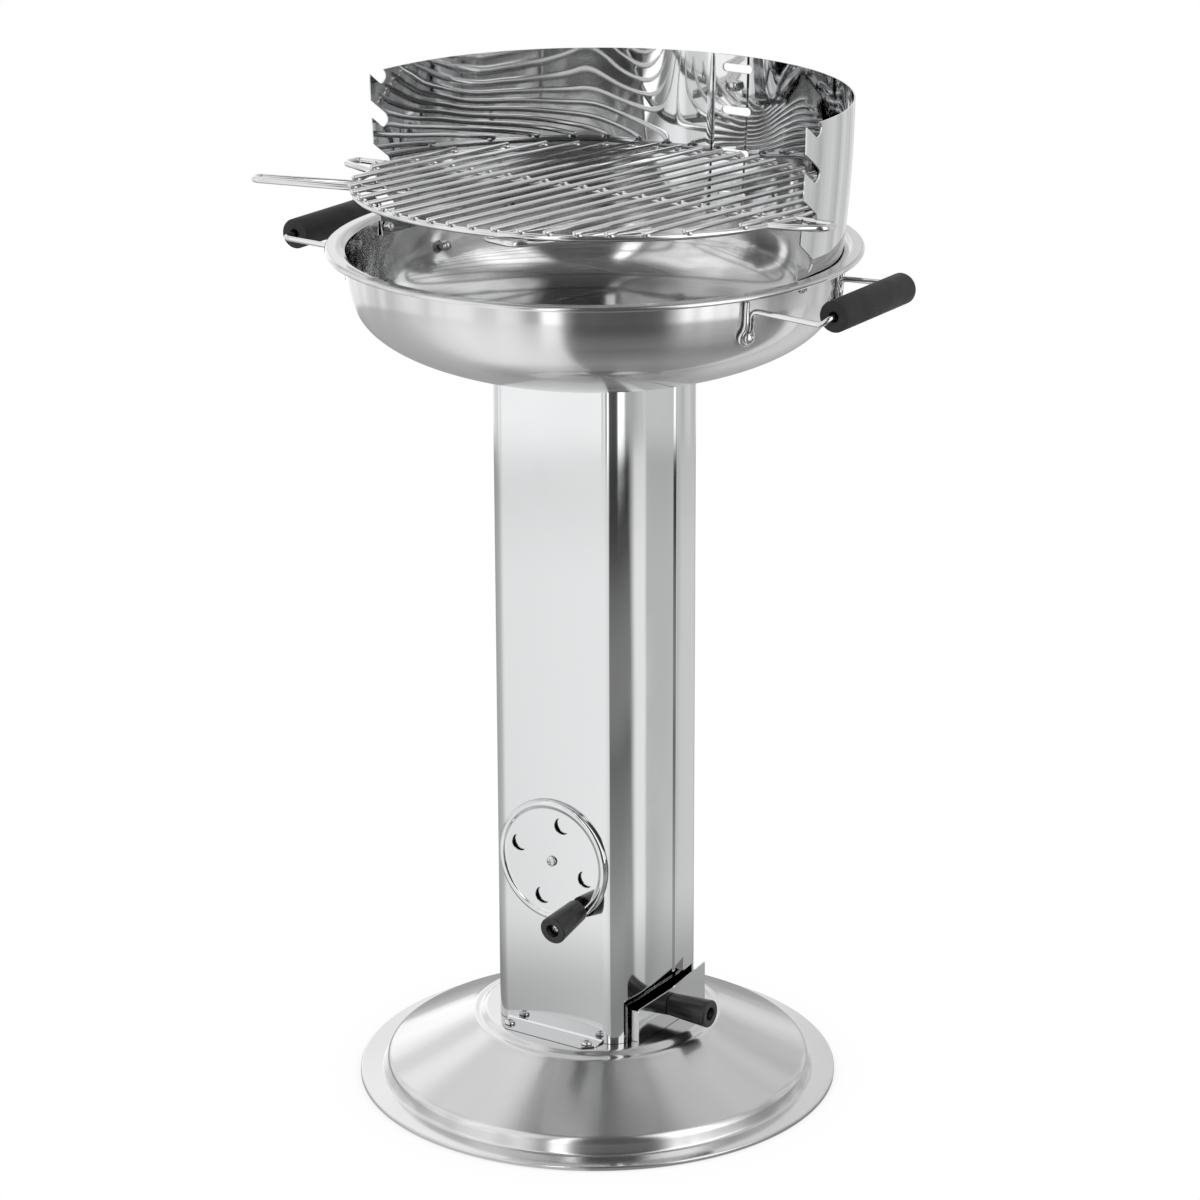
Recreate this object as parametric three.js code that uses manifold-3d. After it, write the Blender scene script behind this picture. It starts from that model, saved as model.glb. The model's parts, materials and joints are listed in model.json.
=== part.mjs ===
// A free-standing pedestal charcoal barbecue in polished stainless sheet.
// Millimetres, +Z up, origin on the floor at the middle of the round base.
// The open front of the windshield faces -Y, the ash drawer pulls out along +X.
import * as THREE from 'three';
import { mergeVertices } from 'three/addons/utils/BufferGeometryUtils.js';
import Module from 'manifold-3d';

const wasm = await Module();
wasm.setup();

// Fits and sheet
const seatGap = 0.3;
const shankClearance = 0.3;
const overrun = 5;
const sheet = 1;

// Column: a rounded square tube of two folded shells
const columnHalf = 57.6;
const columnCorner = 16;
const columnSeamY = 14;
const columnLap = 8;
const footFlangeWidth = 17;
const footFlangeChamfer = 8;
const footScrewInset = 9.6;
const footScrewSideInset = 23.6;
const footScrewX = columnHalf - footScrewSideInset;
const topFlangeWidth = 15;
const bowlBoltInset = 8;
const bowlBoltSideInset = 32.6;
const bowlBoltX = columnHalf - bowlBoltSideInset;

// Base: a pressed round foot
const baseRadius = 179;
const baseEdgeHeight = 3.4;
const baseHem = 9;
const baseFlange = 18;
const baseStepRadius = baseRadius - baseFlange;
const baseStepRun = 2.6;
const baseShoulderRadius = baseStepRadius - baseStepRun;
const baseShoulderHeight = 14.8;
const plateauMargin = 26.4;
const plateauRadius = columnHalf + plateauMargin;
const plateauHeight = 50.5;
const baseBeadReach = 13;
const baseConeTopRadius = plateauRadius + baseBeadReach;
const baseConeTopHeight = 45;
const baseBeadWidth = 9;
const baseBeadRise = 2.5;
const roundSides = 48;

// Bowl
const rimRadius = 190;
const rimHeight = 637;
const rimDrop = 2.6;
const rimEdgeRound = 1.2;
const rimWidth = 9.7;
const mouthRadius = rimRadius - rimWidth;
const mouthRound = 2.4;
const wallSetback = 3;
const bowlWallRadius = mouthRadius - wallSetback;
const bowlCurveDepth = 99.5;
const bowlTaper = 8.3;
const bowlFloorMargin = 1.1687;
const bowlFloorRadius = (columnHalf - columnCorner) * Math.SQRT2 + columnCorner + bowlFloorMargin;
const bowlWallShares = [0.12, 0.25, 0.38, 0.5, 0.61, 0.7, 0.78, 0.84];
const ashHoleRadius = 12;
const ashRingHoleRadius = 8;
const ashRingRadius = 32;
const ashRingCount = 6;

// Windshield: two half rings of notched sheet
const windSetback = 2.8;
const windFootRadius = bowlWallRadius - windSetback;
const windFlare = 8.3;
const windTopRadius = windFootRadius + windFlare;
const windRise = 106;
const windTopHeight = rimHeight + windRise;
const windDepth = 13;
const windFootHeight = rimHeight - windDepth;
const windEndAngle = -5.4;
const rightSheetEndAngle = 92.5;
const leftSheetEndAngle = 84.4;
const lapJoggleAngle = 0.8;
const endBoltInset = 1.6;
const notchCount = 4;
const notchPitchShare = 0.264706;
const notchPitch = (windRise + windDepth) * notchPitchShare;
const notchWidth = 10.5;
const notchInset = 14.5;
const notchTopDrop = 1.8;
const notchSlant = 35;
const rearSlotAngle = 87.3;
const rearSlotCount = 4;
const rearSlotLength = 25;
const rearSlotHeight = 6.2;
const rearSlotTopDrop = 9.4;
const rearSlotPitchShare = 0.263866;
const rearSlotPitch = (windRise + windDepth) * rearSlotPitchShare;
const lapBoltDrop = 22;
const lapBoltHeight = windTopHeight - lapBoltDrop;
const rearBoltDrop = 8.5;
const rearBoltHeight = rimHeight - rearBoltDrop;
const endBoltDrop = 7;
const endBoltHeight = rimHeight - endBoltDrop;

// Cooking grill; its loops are placed in shares of its own radius
const ringWire = 2.3;
const barWire = 1.8;
const weldBite = 0.5;
const grillSetback = 7;
const grillRadius = windFootRadius - grillSetback;
const grillForward = 4;
const barCount = 20;
const barEndShare = 0.29412;
const barPitch = (grillRadius * 2) / (barCount - barEndShare);
const barOverhang = 3;
const crossTurn = -4.2;
const earPast = 17.2;
const earReach = windTopRadius + earPast;
const earNearInset = 9.5;
const earFarForward = 24;
const earFootForward = 40;
const earBend = 5;
const rearEarHalfWidth = 9;
const rearEarThrough = 1.6;
const handleTipHalfWidth = 5.5;
const loopShares = {
  handleTip: [-1.29552, -0.64478],
  handleFootNear: [-0.76418, -0.45373],
  handleFootFar: [-0.54925, -0.50149],
  frontLoopLeft: [0.10149, -0.98507],
  frontLoopRight: [0.2806, -1.02687],
  frontFootLeft: [0.35821, -0.51343],
  frontFootRight: [0.63881, -0.57313],
};
const handleTip = onGrill('handleTip');
const handleFootNear = onGrill('handleFootNear');
const handleFootFar = onGrill('handleFootFar');
const frontLoopLeft = onGrill('frontLoopLeft');
const frontLoopRight = onGrill('frontLoopRight');
const frontFootLeft = onGrill('frontFootLeft');
const frontFootRight = onGrill('frontFootRight');
const frontLoopDrop = 5;

// Charcoal grate
const grateLift = 8.5;
const grateWire = 2.5;
const grateBarPitch = 22;
const grateBarCount = 7;
const grateSides = 32;

// Carrying handles
const handleWire = 2;
const handleFrontAngle = 21.8;
const handleRearAngle = 16.2;
const eyeletDrop = 31.5;
const eyeletHeight = rimHeight - eyeletDrop;
const eyeletRadius = 4.5;
const tailDrop = 6.5;
const tailTop = rimHeight - tailDrop;
const riseDrop = 12;
const riseTop = rimHeight - riseDrop;
const riseLean = 0.4;
const hookFrontForward = 65;
const hookRearBack = 49;
const gripStandOff = 36.6;
const gripX = rimRadius + gripStandOff;
const gripDrop = 11;
const gripHeight = rimHeight - gripDrop;
const rightHookDrop = 4.5;
const leftHookDrop = 0;
const gripLength = 96;
const rightGripForward = 9;
const leftGripForward = 4;
const gripRadius = 11;
const gripRunningGap = 0.5;
const gripMouthRadius = 3.6;
const gripMouthDepth = 6;
const gripRound = 1.5;
const handleBend = 7;

// Vent
const ventHeight = 187;
const ventInset = 10.6;
const ventRadius = columnHalf - ventInset;
const ventStandOff = 3;
const ventBeadRise = 1.6;
const ventBeadWidth = 6;
const ventHoleRadius = 6.5;
const ventHoleCircle = 30;
const ventHoleTurn = -16.5;
const ventKnobCircle = 40;
const ventKnobTurn = -54;
const ventKnobDroop = 8;

// Knobs
const knobLength = 33;
const knobNeckRadius = 8.5;
const knobEndRadius = 10.5;
const knobRecessRadius = 5;
const knobRecessDepth = 6;
const knobRound = 1.4;

// Ash drawer
const drawerAjar = 7.5;
const drawerMouthInset = 12.6;
const drawerMouthHalfWidth = columnHalf - drawerMouthInset;
const drawerMouthTop = 80;
const drawerSideGap = 3;
const drawerHalfWidth = drawerMouthHalfWidth - drawerSideGap;
const drawerTrayTop = 75;
const drawerBackGap = 7.2;
const drawerTrayLength = columnHalf * 2 - drawerBackGap;
const drawerFrontLap = 1.5;
const drawerFrontHalfWidth = drawerMouthHalfWidth + drawerFrontLap;
const drawerFrontTop = 78.5;
const drawerFrontLift = 5;
const drawerKnobHeight = 66;

// Fasteners
const shankRadius = 2;
const headRadius = 4;
const headHeight = 2.4;
const headCrownShare = 0.7;
const headShoulderShare = 0.85;
const nutRadius = 4.2;
const nutHeight = 3.2;
const nutDomeHeight = 4;
const domeFootShare = 0.86;
const domeNeckShare = 0.6;
const domeRiseShare = 0.75;
const shankPastNut = 1.5;
const fastenerSides = 8;

const degree = Math.PI / 180;
const xAxis = new THREE.Vector3(1, 0, 0);
const yAxis = new THREE.Vector3(0, 1, 0);
const zAxis = new THREE.Vector3(0, 0, 1);

const polished = { color: 0xc9cbcc, roughness: 0.16, metalness: 1 };
const brushed = { color: 0xbfc1c2, roughness: 0.3, metalness: 1 };
const bright = { color: 0xd4d5d6, roughness: 0.22, metalness: 1 };
const black = { color: 0x17181a, roughness: 0.55, metalness: 0 };

const grill = new THREE.Group();

function onGrill(place) {
  const [x, y] = loopShares[place];
  return new THREE.Vector2(x, y).multiplyScalar(grillRadius);
}

// Solids from closed geometry, and back
function toSolid(geometry) {
  const bare = geometry.clone();
  bare.deleteAttribute('normal');
  bare.deleteAttribute('uv');
  const merged = mergeVertices(bare, sheet / 1000);
  const index = merged.index.array;
  const kept = [];
  for (let i = 0; i < index.length; i += 3) {
    const [a, b, c] = [index[i], index[i + 1], index[i + 2]];
    if (a !== b && b !== c && c !== a) kept.push(a, b, c);
  }
  const place = merged.attributes.position.array;
  if (signedVolume(place, kept) < 0) kept.reverse();
  const mesh = new wasm.Mesh({
    numProp: 3,
    vertProperties: Float32Array.from(place),
    triVerts: Uint32Array.from(kept),
  });
  return new wasm.Manifold(mesh);
}

function signedVolume(place, triangles) {
  const a = new THREE.Vector3();
  const b = new THREE.Vector3();
  const c = new THREE.Vector3();
  let sum = 0;
  for (let i = 0; i < triangles.length; i += 3) {
    a.fromArray(place, triangles[i] * 3);
    b.fromArray(place, triangles[i + 1] * 3);
    c.fromArray(place, triangles[i + 2] * 3);
    sum += a.dot(b.cross(c));
  }
  return sum;
}

function toGeometry(solid) {
  const mesh = solid.getMesh();
  const geometry = new THREE.BufferGeometry();
  const place = new THREE.BufferAttribute(new Float32Array(mesh.vertProperties), 3);
  geometry.setAttribute('position', place);
  geometry.setIndex(new THREE.BufferAttribute(new Uint32Array(mesh.triVerts), 1));
  geometry.computeVertexNormals();
  return geometry;
}

function addPart(name, solid, look, parent = grill) {
  const mesh = new THREE.Mesh(toGeometry(solid), new THREE.MeshStandardMaterial(look));
  mesh.name = name;
  parent.add(mesh);
  return mesh;
}

// Stands a mesh whose own axis is +Z at a point, facing a direction
function aim(mesh, point, direction) {
  mesh.position.copy(point);
  mesh.quaternion.setFromUnitVectors(zAxis, direction.clone().normalize());
}

function moved(solid, matrix) {
  return toSolid(toGeometry(solid).applyMatrix4(matrix));
}

function shifted(solid, x, y, z) {
  return moved(solid, new THREE.Matrix4().makeTranslation(x, y, z));
}

// Basic shapes
function turned(points, sides) {
  const outline = points.map(([radius, height]) => new THREE.Vector2(radius, height));
  outline.push(outline[0].clone());
  return toSolid(new THREE.LatheGeometry(outline, sides).rotateX(Math.PI / 2));
}

function boxBetween(low, high) {
  const size = high.map((value, i) => value - low[i]);
  const box = new THREE.BoxGeometry(...size);
  box.translate(...low.map((value, i) => value + size[i] / 2));
  return toSolid(box);
}

function rod(radius, from, to, sides) {
  const along = to.clone().sub(from);
  const body = new THREE.CylinderGeometry(radius, radius, along.length(), sides);
  const turn = new THREE.Quaternion().setFromUnitVectors(yAxis, along.clone().normalize());
  body.applyQuaternion(turn);
  body.translate(...from.clone().add(to).multiplyScalar(1 / 2).toArray());
  return toSolid(body);
}

function extruded(shape, depth) {
  return toSolid(new THREE.ExtrudeGeometry(shape, { depth, bevelEnabled: false, curveSegments: 6 }));
}

function circleShape(radius, sides) {
  const shape = new THREE.Shape();
  for (let i = 0; i < sides; i += 1) {
    const turn = (2 * Math.PI * i) / sides;
    const [x, y] = [radius * Math.cos(turn), radius * Math.sin(turn)];
    if (i === 0) shape.moveTo(x, y);
    else shape.lineTo(x, y);
  }
  shape.closePath();
  return shape;
}

// A round wire along straight runs with rounded corners
function wire(points, radius, bend, sides, bendSteps = 4) {
  const path = new THREE.CurvePath();
  let last = points[0];
  for (let i = 1; i < points.length - 1; i += 1) {
    const corner = points[i];
    const reach = Math.min(bend, corner.distanceTo(points[i - 1]) / 2, corner.distanceTo(points[i + 1]) / 2);
    const before = corner.clone().add(points[i - 1].clone().sub(corner).setLength(reach));
    const after = corner.clone().add(points[i + 1].clone().sub(corner).setLength(reach));
    path.add(new THREE.LineCurve3(last, before));
    path.add(new THREE.QuadraticBezierCurve3(before, corner, after));
    last = after;
  }
  path.add(new THREE.LineCurve3(last, points[points.length - 1]));
  const places = [points[0]];
  for (const curve of path.curves) {
    const steps = curve instanceof THREE.LineCurve3 ? 1 : bendSteps;
    for (let i = 1; i <= steps; i += 1) places.push(curve.getPoint(i / steps));
  }
  return tubeThrough(places, radius, sides);
}

// A tube through given places: each ring lies in the plane that halves the bend there
function tubeThrough(places, radius, sides) {
  const count = places.length;
  const position = [];
  const index = [];
  let across = new THREE.Vector3();
  for (let i = 0; i < count; i += 1) {
    const back = places[i].clone().sub(places[Math.max(i - 1, 0)]).normalize();
    const ahead = places[Math.min(i + 1, count - 1)].clone().sub(places[i]).normalize();
    const along = back.clone().add(ahead).normalize();
    if (i === 0) across = Math.abs(along.z) > 0.9 ? xAxis.clone() : zAxis.clone();
    across.sub(along.clone().multiplyScalar(across.dot(along))).normalize();
    const side = along.clone().cross(across);
    for (let j = 0; j < sides; j += 1) {
      const turn = (2 * Math.PI * j) / sides;
      const spoke = across.clone().multiplyScalar(Math.cos(turn)).addScaledVector(side, Math.sin(turn));
      position.push(...places[i].clone().addScaledVector(spoke, radius).toArray());
    }
  }
  for (let i = 0; i < count - 1; i += 1) {
    for (let j = 0; j < sides; j += 1) {
      const [a, b] = [i * sides + j, i * sides + ((j + 1) % sides)];
      index.push(a, b, a + sides, b, b + sides, a + sides);
    }
  }
  for (let j = 1; j < sides - 1; j += 1) {
    index.push(0, j + 1, j);
    index.push((count - 1) * sides, (count - 1) * sides + j, (count - 1) * sides + j + 1);
  }
  const geometry = new THREE.BufferGeometry();
  geometry.setAttribute('position', new THREE.Float32BufferAttribute(position, 3));
  geometry.setIndex(index);
  return toSolid(geometry);
}

function torus(ringRadius, wireRadius, sides, around) {
  return toSolid(new THREE.TorusGeometry(ringRadius, wireRadius, sides, around));
}

// Sheet metal: the outline of a pressed sheet from its outer line, by mitred offsets
function pressedProfile(line, thickness) {
  const points = line.map(([radius, height]) => new THREE.Vector2(radius, height));
  const inner = points.map((point, i) => {
    const before = point.clone().sub(points[Math.max(i - 1, 0)]).normalize();
    const after = points[Math.min(i + 1, points.length - 1)].clone().sub(point).normalize();
    if (i === 0) before.copy(after);
    if (i === points.length - 1) after.copy(before);
    const normal = new THREE.Vector2(-before.y - after.y, before.x + after.x).normalize();
    const spread = normal.dot(new THREE.Vector2(-after.y, after.x));
    return point.clone().addScaledVector(normal, thickness / spread);
  });
  inner.forEach((point) => {
    if (point.x < sheet / 10) point.x = 0;
  });
  return [...points, ...inner.reverse()].map((point) => [point.x, point.y]);
}

function polar(radius, angle, height) {
  return new THREE.Vector3(radius * Math.cos(angle * degree), radius * Math.sin(angle * degree), height);
}

// A prism over a sector of the plan, used to keep part of a ring
function sector(fromAngle, toAngle, low, high) {
  const reach = rimRadius + overrun;
  const steps = Math.ceil((toAngle - fromAngle) / 15);
  const shape = new THREE.Shape();
  shape.moveTo(0, 0);
  for (let i = 0; i <= steps; i += 1) {
    const angle = (fromAngle + ((toAngle - fromAngle) * i) / steps) * degree;
    shape.lineTo(reach * Math.cos(angle), reach * Math.sin(angle));
  }
  shape.closePath();
  return shifted(extruded(shape, high - low), 0, 0, low);
}

// Heights that several pieces share
const footFlangeBottom = plateauHeight + seatGap;
const footFlangeTop = footFlangeBottom + sheet;
const wallCurvePower = 4.2;
const wallSquareness = 0.862;

function bowlRadiusAt(height) {
  const depthShare = (rimHeight - height) / bowlCurveDepth;
  const swell = (1 - depthShare ** wallCurvePower) ** wallSquareness;
  return bowlWallRadius * swell - bowlTaper * depthShare;
}

// The height at which the curved wall has come in to the flat floor, by halving
function bowlHeightAt(radius) {
  let [low, high] = [rimHeight - bowlCurveDepth, rimHeight];
  for (let i = 0; i < 40; i += 1) {
    const middle = (low + high) / 2;
    if (bowlRadiusAt(middle) < radius) low = middle;
    else high = middle;
  }
  return (low + high) / 2;
}

const bowlFloor = bowlHeightAt(bowlFloorRadius);
const columnTop = bowlFloor - seatGap;
const grateHeight = bowlFloor + grateLift;

function makeBase() {
  const beadTop = baseConeTopHeight + baseBeadRise;
  const line = [
    [baseRadius - baseHem, 0],
    [baseRadius, 0],
    [baseRadius, baseEdgeHeight - sheet],
    [baseRadius - sheet, baseEdgeHeight],
    [baseStepRadius, baseEdgeHeight],
    [baseShoulderRadius, baseShoulderHeight],
    [baseConeTopRadius, baseConeTopHeight],
    [baseConeTopRadius - baseBeadWidth / 2, beadTop],
    [baseConeTopRadius - baseBeadWidth, beadTop],
    [plateauRadius, plateauHeight],
    [0, plateauHeight],
  ];
  let base = turned(pressedProfile(line, sheet), roundSides);
  for (const place of footScrewPlaces()) base = base.subtract(holeThrough(place));
  addPart('base_plate', base, brushed);
}

function footScrewPlaces() {
  const y = columnHalf + footScrewInset;
  return [
    new THREE.Vector3(-footScrewX, -y, plateauHeight),
    new THREE.Vector3(footScrewX, -y, plateauHeight),
    new THREE.Vector3(-footScrewX, y, plateauHeight),
    new THREE.Vector3(footScrewX, y, plateauHeight),
  ];
}

function bowlBoltPlaces() {
  const y = columnHalf - bowlBoltInset;
  return [
    new THREE.Vector3(-bowlBoltX, -y, bowlFloor),
    new THREE.Vector3(bowlBoltX, -y, bowlFloor),
    new THREE.Vector3(-bowlBoltX, y, bowlFloor),
    new THREE.Vector3(bowlBoltX, y, bowlFloor),
  ];
}

function holeThrough(place, direction = zAxis, radius = shankRadius + shankClearance) {
  const reach = direction.clone().setLength(overrun);
  return rod(radius, place.clone().sub(reach), place.clone().add(reach), fastenerSides);
}

// One shell of the column, front side down the page; the rear shell is its mirror with inner laps
function shellShape(seam) {
  const half = columnHalf;
  const inside = columnHalf - sheet;
  const round = columnCorner;
  const innerRound = columnCorner - sheet;
  const shape = new THREE.Shape();
  shape.moveTo(half, seam);
  shape.lineTo(half, -half + round);
  shape.absarc(half - round, -half + round, round, 0, -Math.PI / 2, true);
  shape.lineTo(-half + round, -half);
  shape.absarc(-half + round, -half + round, round, -Math.PI / 2, -Math.PI, true);
  shape.lineTo(-half, seam);
  shape.lineTo(-inside, seam);
  shape.lineTo(-inside, -half + round);
  shape.absarc(-half + round, -half + round, innerRound, -Math.PI, -Math.PI / 2, false);
  shape.lineTo(half - round, -inside);
  shape.absarc(half - round, -half + round, innerRound, -Math.PI / 2, 0, false);
  shape.lineTo(inside, seam);
  shape.closePath();
  return shape;
}

function footFlange() {
  const halfWidth = columnHalf - columnCorner;
  const outer = columnHalf + footFlangeWidth;
  const shape = new THREE.Shape();
  shape.moveTo(-halfWidth, -columnHalf + sheet);
  shape.lineTo(-halfWidth, -outer + footFlangeChamfer);
  shape.lineTo(-halfWidth + footFlangeChamfer, -outer);
  shape.lineTo(halfWidth - footFlangeChamfer, -outer);
  shape.lineTo(halfWidth, -outer + footFlangeChamfer);
  shape.lineTo(halfWidth, -columnHalf + sheet);
  shape.closePath();
  return shifted(extruded(shape, sheet), 0, 0, footFlangeBottom);
}

function topFlange() {
  const halfWidth = columnHalf - columnCorner;
  const low = [-halfWidth, -columnHalf, columnTop - sheet];
  return boxBetween(low, [halfWidth, -columnHalf + topFlangeWidth, columnTop]);
}

function columnShell(seam) {
  const tube = shifted(extruded(shellShape(seam), columnTop - footFlangeBottom), 0, 0, footFlangeBottom);
  return tube.add(footFlange()).add(topFlange());
}

function drawerMouth() {
  const low = [columnHalf - columnCorner, -drawerMouthHalfWidth, footFlangeBottom - overrun];
  return boxBetween(low, [columnHalf + overrun, drawerMouthHalfWidth, drawerMouthTop]);
}

function makeColumn() {
  let front = columnShell(columnSeamY).subtract(drawerMouth());
  for (let i = 0; i < 4; i += 1) {
    const turn = ventHoleTurn + 45 + 90 * i;
    front = front.subtract(holeThrough(ventPlace(ventHoleCircle, turn), yAxis, ventHoleRadius));
  }
  front = front.subtract(holeThrough(ventPlace(0, 0), yAxis));

  const seam = -columnSeamY - seatGap;
  let rear = columnShell(seam);
  const inside = columnHalf - sheet - seatGap - sheet;
  for (const side of [-1, 1]) {
    const edges = [side * inside, side * (inside + sheet)].sort((a, b) => a - b);
    const step = [side * inside, side * columnHalf].sort((a, b) => a - b);
    const lip = boxBetween(
      [edges[0], seam - sheet, footFlangeBottom],
      [edges[1], seam + columnLap, columnTop],
    );
    const joggle = boxBetween([step[0], seam - sheet, footFlangeBottom], [step[1], seam, columnTop]);
    rear = rear.add(lip).add(joggle);
  }
  rear = moved(rear, new THREE.Matrix4().makeRotationZ(Math.PI)).subtract(drawerMouth());

  for (const place of [...footScrewPlaces(), ...bowlBoltPlaces()]) {
    front = front.subtract(holeThrough(place));
    rear = rear.subtract(holeThrough(place));
  }
  addPart('column_front_shell', front, polished);
  addPart('column_rear_shell', rear, polished);
}

// Fasteners: heads stand above local z 0, shanks reach below it
function screwSolid(length) {
  return turned(
    [
      [0, -length],
      [shankRadius, -length],
      [shankRadius, 0],
      [headRadius, 0],
      [headRadius, headHeight / 3],
      [headRadius * headCrownShare, headHeight * headShoulderShare],
      [0, headHeight],
    ],
    fastenerSides,
  );
}

function nutSolid(domed) {
  const body = extruded(circleShape(nutRadius, 6), nutHeight);
  const bore = rod(
    shankRadius + shankClearance,
    new THREE.Vector3(0, 0, -overrun),
    new THREE.Vector3(0, 0, nutHeight + (domed ? 0 : overrun)),
    fastenerSides,
  );
  if (!domed) return body.subtract(bore);
  const dome = turned(
    [
      [0, nutHeight - sheet],
      [nutRadius * domeFootShare, nutHeight - sheet],
      [nutRadius * domeFootShare, nutHeight],
      [nutRadius * domeNeckShare, nutHeight + nutDomeHeight * domeRiseShare],
      [0, nutHeight + nutDomeHeight],
    ],
    fastenerSides,
  );
  return body.add(dome).subtract(bore);
}

// A screw from one side of a stack and its nut on the other; outward points from nut to head
function boltStack(name, headPoint, outward, stack, domed = false) {
  const direction = outward.clone().normalize();
  const length = stack + seatGap * 2 + (domed ? nutHeight - seatGap : nutHeight + shankPastNut);
  const screw = addPart(`${name}_screw`, screwSolid(length), bright);
  aim(screw, headPoint.clone().addScaledVector(direction, seatGap), direction);
  const nut = addPart(`${name}_nut`, nutSolid(domed), bright);
  const seat = headPoint.clone().addScaledVector(direction, -stack - seatGap);
  aim(nut, seat, direction.clone().negate());
}

function makeFootScrews() {
  const names = ['foot_front_left', 'foot_front_right', 'foot_rear_left', 'foot_rear_right'];
  footScrewPlaces().forEach((place, i) => {
    const top = place.clone().setZ(footFlangeTop);
    boltStack(names[i], top, zAxis, footFlangeTop - plateauHeight + sheet);
  });
}

function makeBowlBolts() {
  const names = ['bowl_front_left', 'bowl_front_right', 'bowl_rear_left', 'bowl_rear_right'];
  bowlBoltPlaces().forEach((place, i) => {
    const top = place.clone().setZ(bowlFloor + sheet);
    boltStack(names[i], top, zAxis, bowlFloor + sheet - columnTop + sheet);
  });
}

// Places on the handles: near is -1 at the front bolt and 1 at the rear one
function handlePoint(side, near, offsetAngle, radius, height) {
  const bolt = near < 0 ? handleFrontAngle : handleRearAngle;
  const angle = near * (bolt + offsetAngle);
  return polar(radius, side > 0 ? angle : 180 - angle, height);
}

function makeBowl() {
  const wallTop = rimHeight - mouthRound;
  // The inside face is drawn; the sheet's thickness goes outward from it
  const line = [
    [rimRadius, rimHeight - rimDrop],
    [rimRadius, rimHeight - rimEdgeRound],
    [rimRadius - rimEdgeRound, rimHeight],
    [mouthRadius, rimHeight],
    [bowlRadiusAt(wallTop) - sheet, wallTop],
  ];
  for (const share of bowlWallShares) {
    const height = rimHeight - bowlCurveDepth * share;
    if (height < wallTop) line.push([bowlRadiusAt(height) - sheet, height + (sheet * share) / 2]);
  }
  line.push([bowlFloorRadius, bowlFloor + sheet]);
  line.push([0, bowlFloor + sheet]);
  let bowl = turned(pressedProfile(line, sheet), roundSides);
  bowl = bowl.subtract(holeThrough(new THREE.Vector3(0, 0, bowlFloor), zAxis, ashHoleRadius));
  for (let i = 0; i < ashRingCount; i += 1) {
    const place = polar(ashRingRadius, (360 * i) / ashRingCount, bowlFloor);
    bowl = bowl.subtract(holeThrough(place, zAxis, ashRingHoleRadius));
  }
  for (const place of bowlBoltPlaces()) bowl = bowl.subtract(holeThrough(place));
  for (const side of [-1, 1]) {
    for (const near of [-1, 1]) {
      const place = handlePoint(side, near, 0, bowlRadiusAt(eyeletHeight), eyeletHeight);
      bowl = bowl.subtract(holeThrough(place, place.clone().setZ(0)));
    }
  }
  for (const { angle, height } of windBoltsInBowl()) {
    const place = polar(bowlRadiusAt(height), angle, height);
    bowl = bowl.subtract(holeThrough(place, place.clone().setZ(0)));
  }
  addPart('bowl', bowl, brushed);
}

// Windshield
function windRadiusAt(height) {
  const share = (height - windFootHeight) / (windTopHeight - windFootHeight);
  return windFootRadius + (windTopRadius - windFootRadius) * share;
}

function windWall(inset, thickness = sheet) {
  const [low, high] = [windFootHeight, windTopHeight];
  return turned(
    [
      [windRadiusAt(low) - inset, low],
      [windRadiusAt(high) - inset, high],
      [windRadiusAt(high) - inset - thickness, high],
      [windRadiusAt(low) - inset - thickness, low],
    ],
    80,
  );
}

function windBoltsInBowl() {
  const angle = windEndAngle + endBoltInset;
  return [
    { name: 'windshield_right_end', angle, height: endBoltHeight, layers: 1 },
    { name: 'windshield_left_end', angle: 180 - angle, height: endBoltHeight, layers: 1 },
    { name: 'windshield_rear', angle: rearSlotAngle, height: rearBoltHeight, layers: 2 },
  ];
}

// One notch of the saw-tooth end: a round-bottomed slot that slants up and out.
// Drawn with x measured inward from the end of the sheet and y as height.
function notchShape(level) {
  const centre = new THREE.Vector2(notchInset, notchCentreHeight - notchPitch * level);
  const out = new THREE.Vector2(-Math.cos(notchSlant * degree), Math.sin(notchSlant * degree));
  const reach = notchInset * 2 + overrun;
  const half = notchWidth / 2;
  const shape = new THREE.Shape();
  const upper = centre.clone().add(new THREE.Vector2(out.y, -out.x).multiplyScalar(half));
  shape.moveTo(upper.x, upper.y);
  const start = Math.atan2(-out.x, out.y);
  for (let i = 1; i <= 8; i += 1) {
    const turn = start - (Math.PI * i) / 8;
    shape.lineTo(centre.x + half * Math.cos(turn), centre.y + half * Math.sin(turn));
  }
  const lowerEnd = centre.clone().addScaledVector(out, reach).sub(upper.clone().sub(centre));
  shape.lineTo(lowerEnd.x, lowerEnd.y);
  const upperEnd = upper.clone().addScaledVector(out, reach);
  shape.lineTo(upperEnd.x, upperEnd.y);
  shape.closePath();
  return shape;
}

// Stands a cutter drawn in the tangent plane of the right-hand end through the sheet there
function throughEnd(shape) {
  const depth = overrun * 4;
  const angle = windEndAngle * degree;
  const across = new THREE.Vector3(-Math.sin(angle), Math.cos(angle), 0);
  const outward = new THREE.Vector3(Math.cos(angle), Math.sin(angle), 0);
  const radius = windRadiusAt(windTopHeight - notchPitch) - depth / 2;
  const matrix = new THREE.Matrix4().makeBasis(across, zAxis, outward);
  matrix.setPosition(outward.clone().multiplyScalar(radius));
  return moved(extruded(shape, depth), matrix);
}

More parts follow.
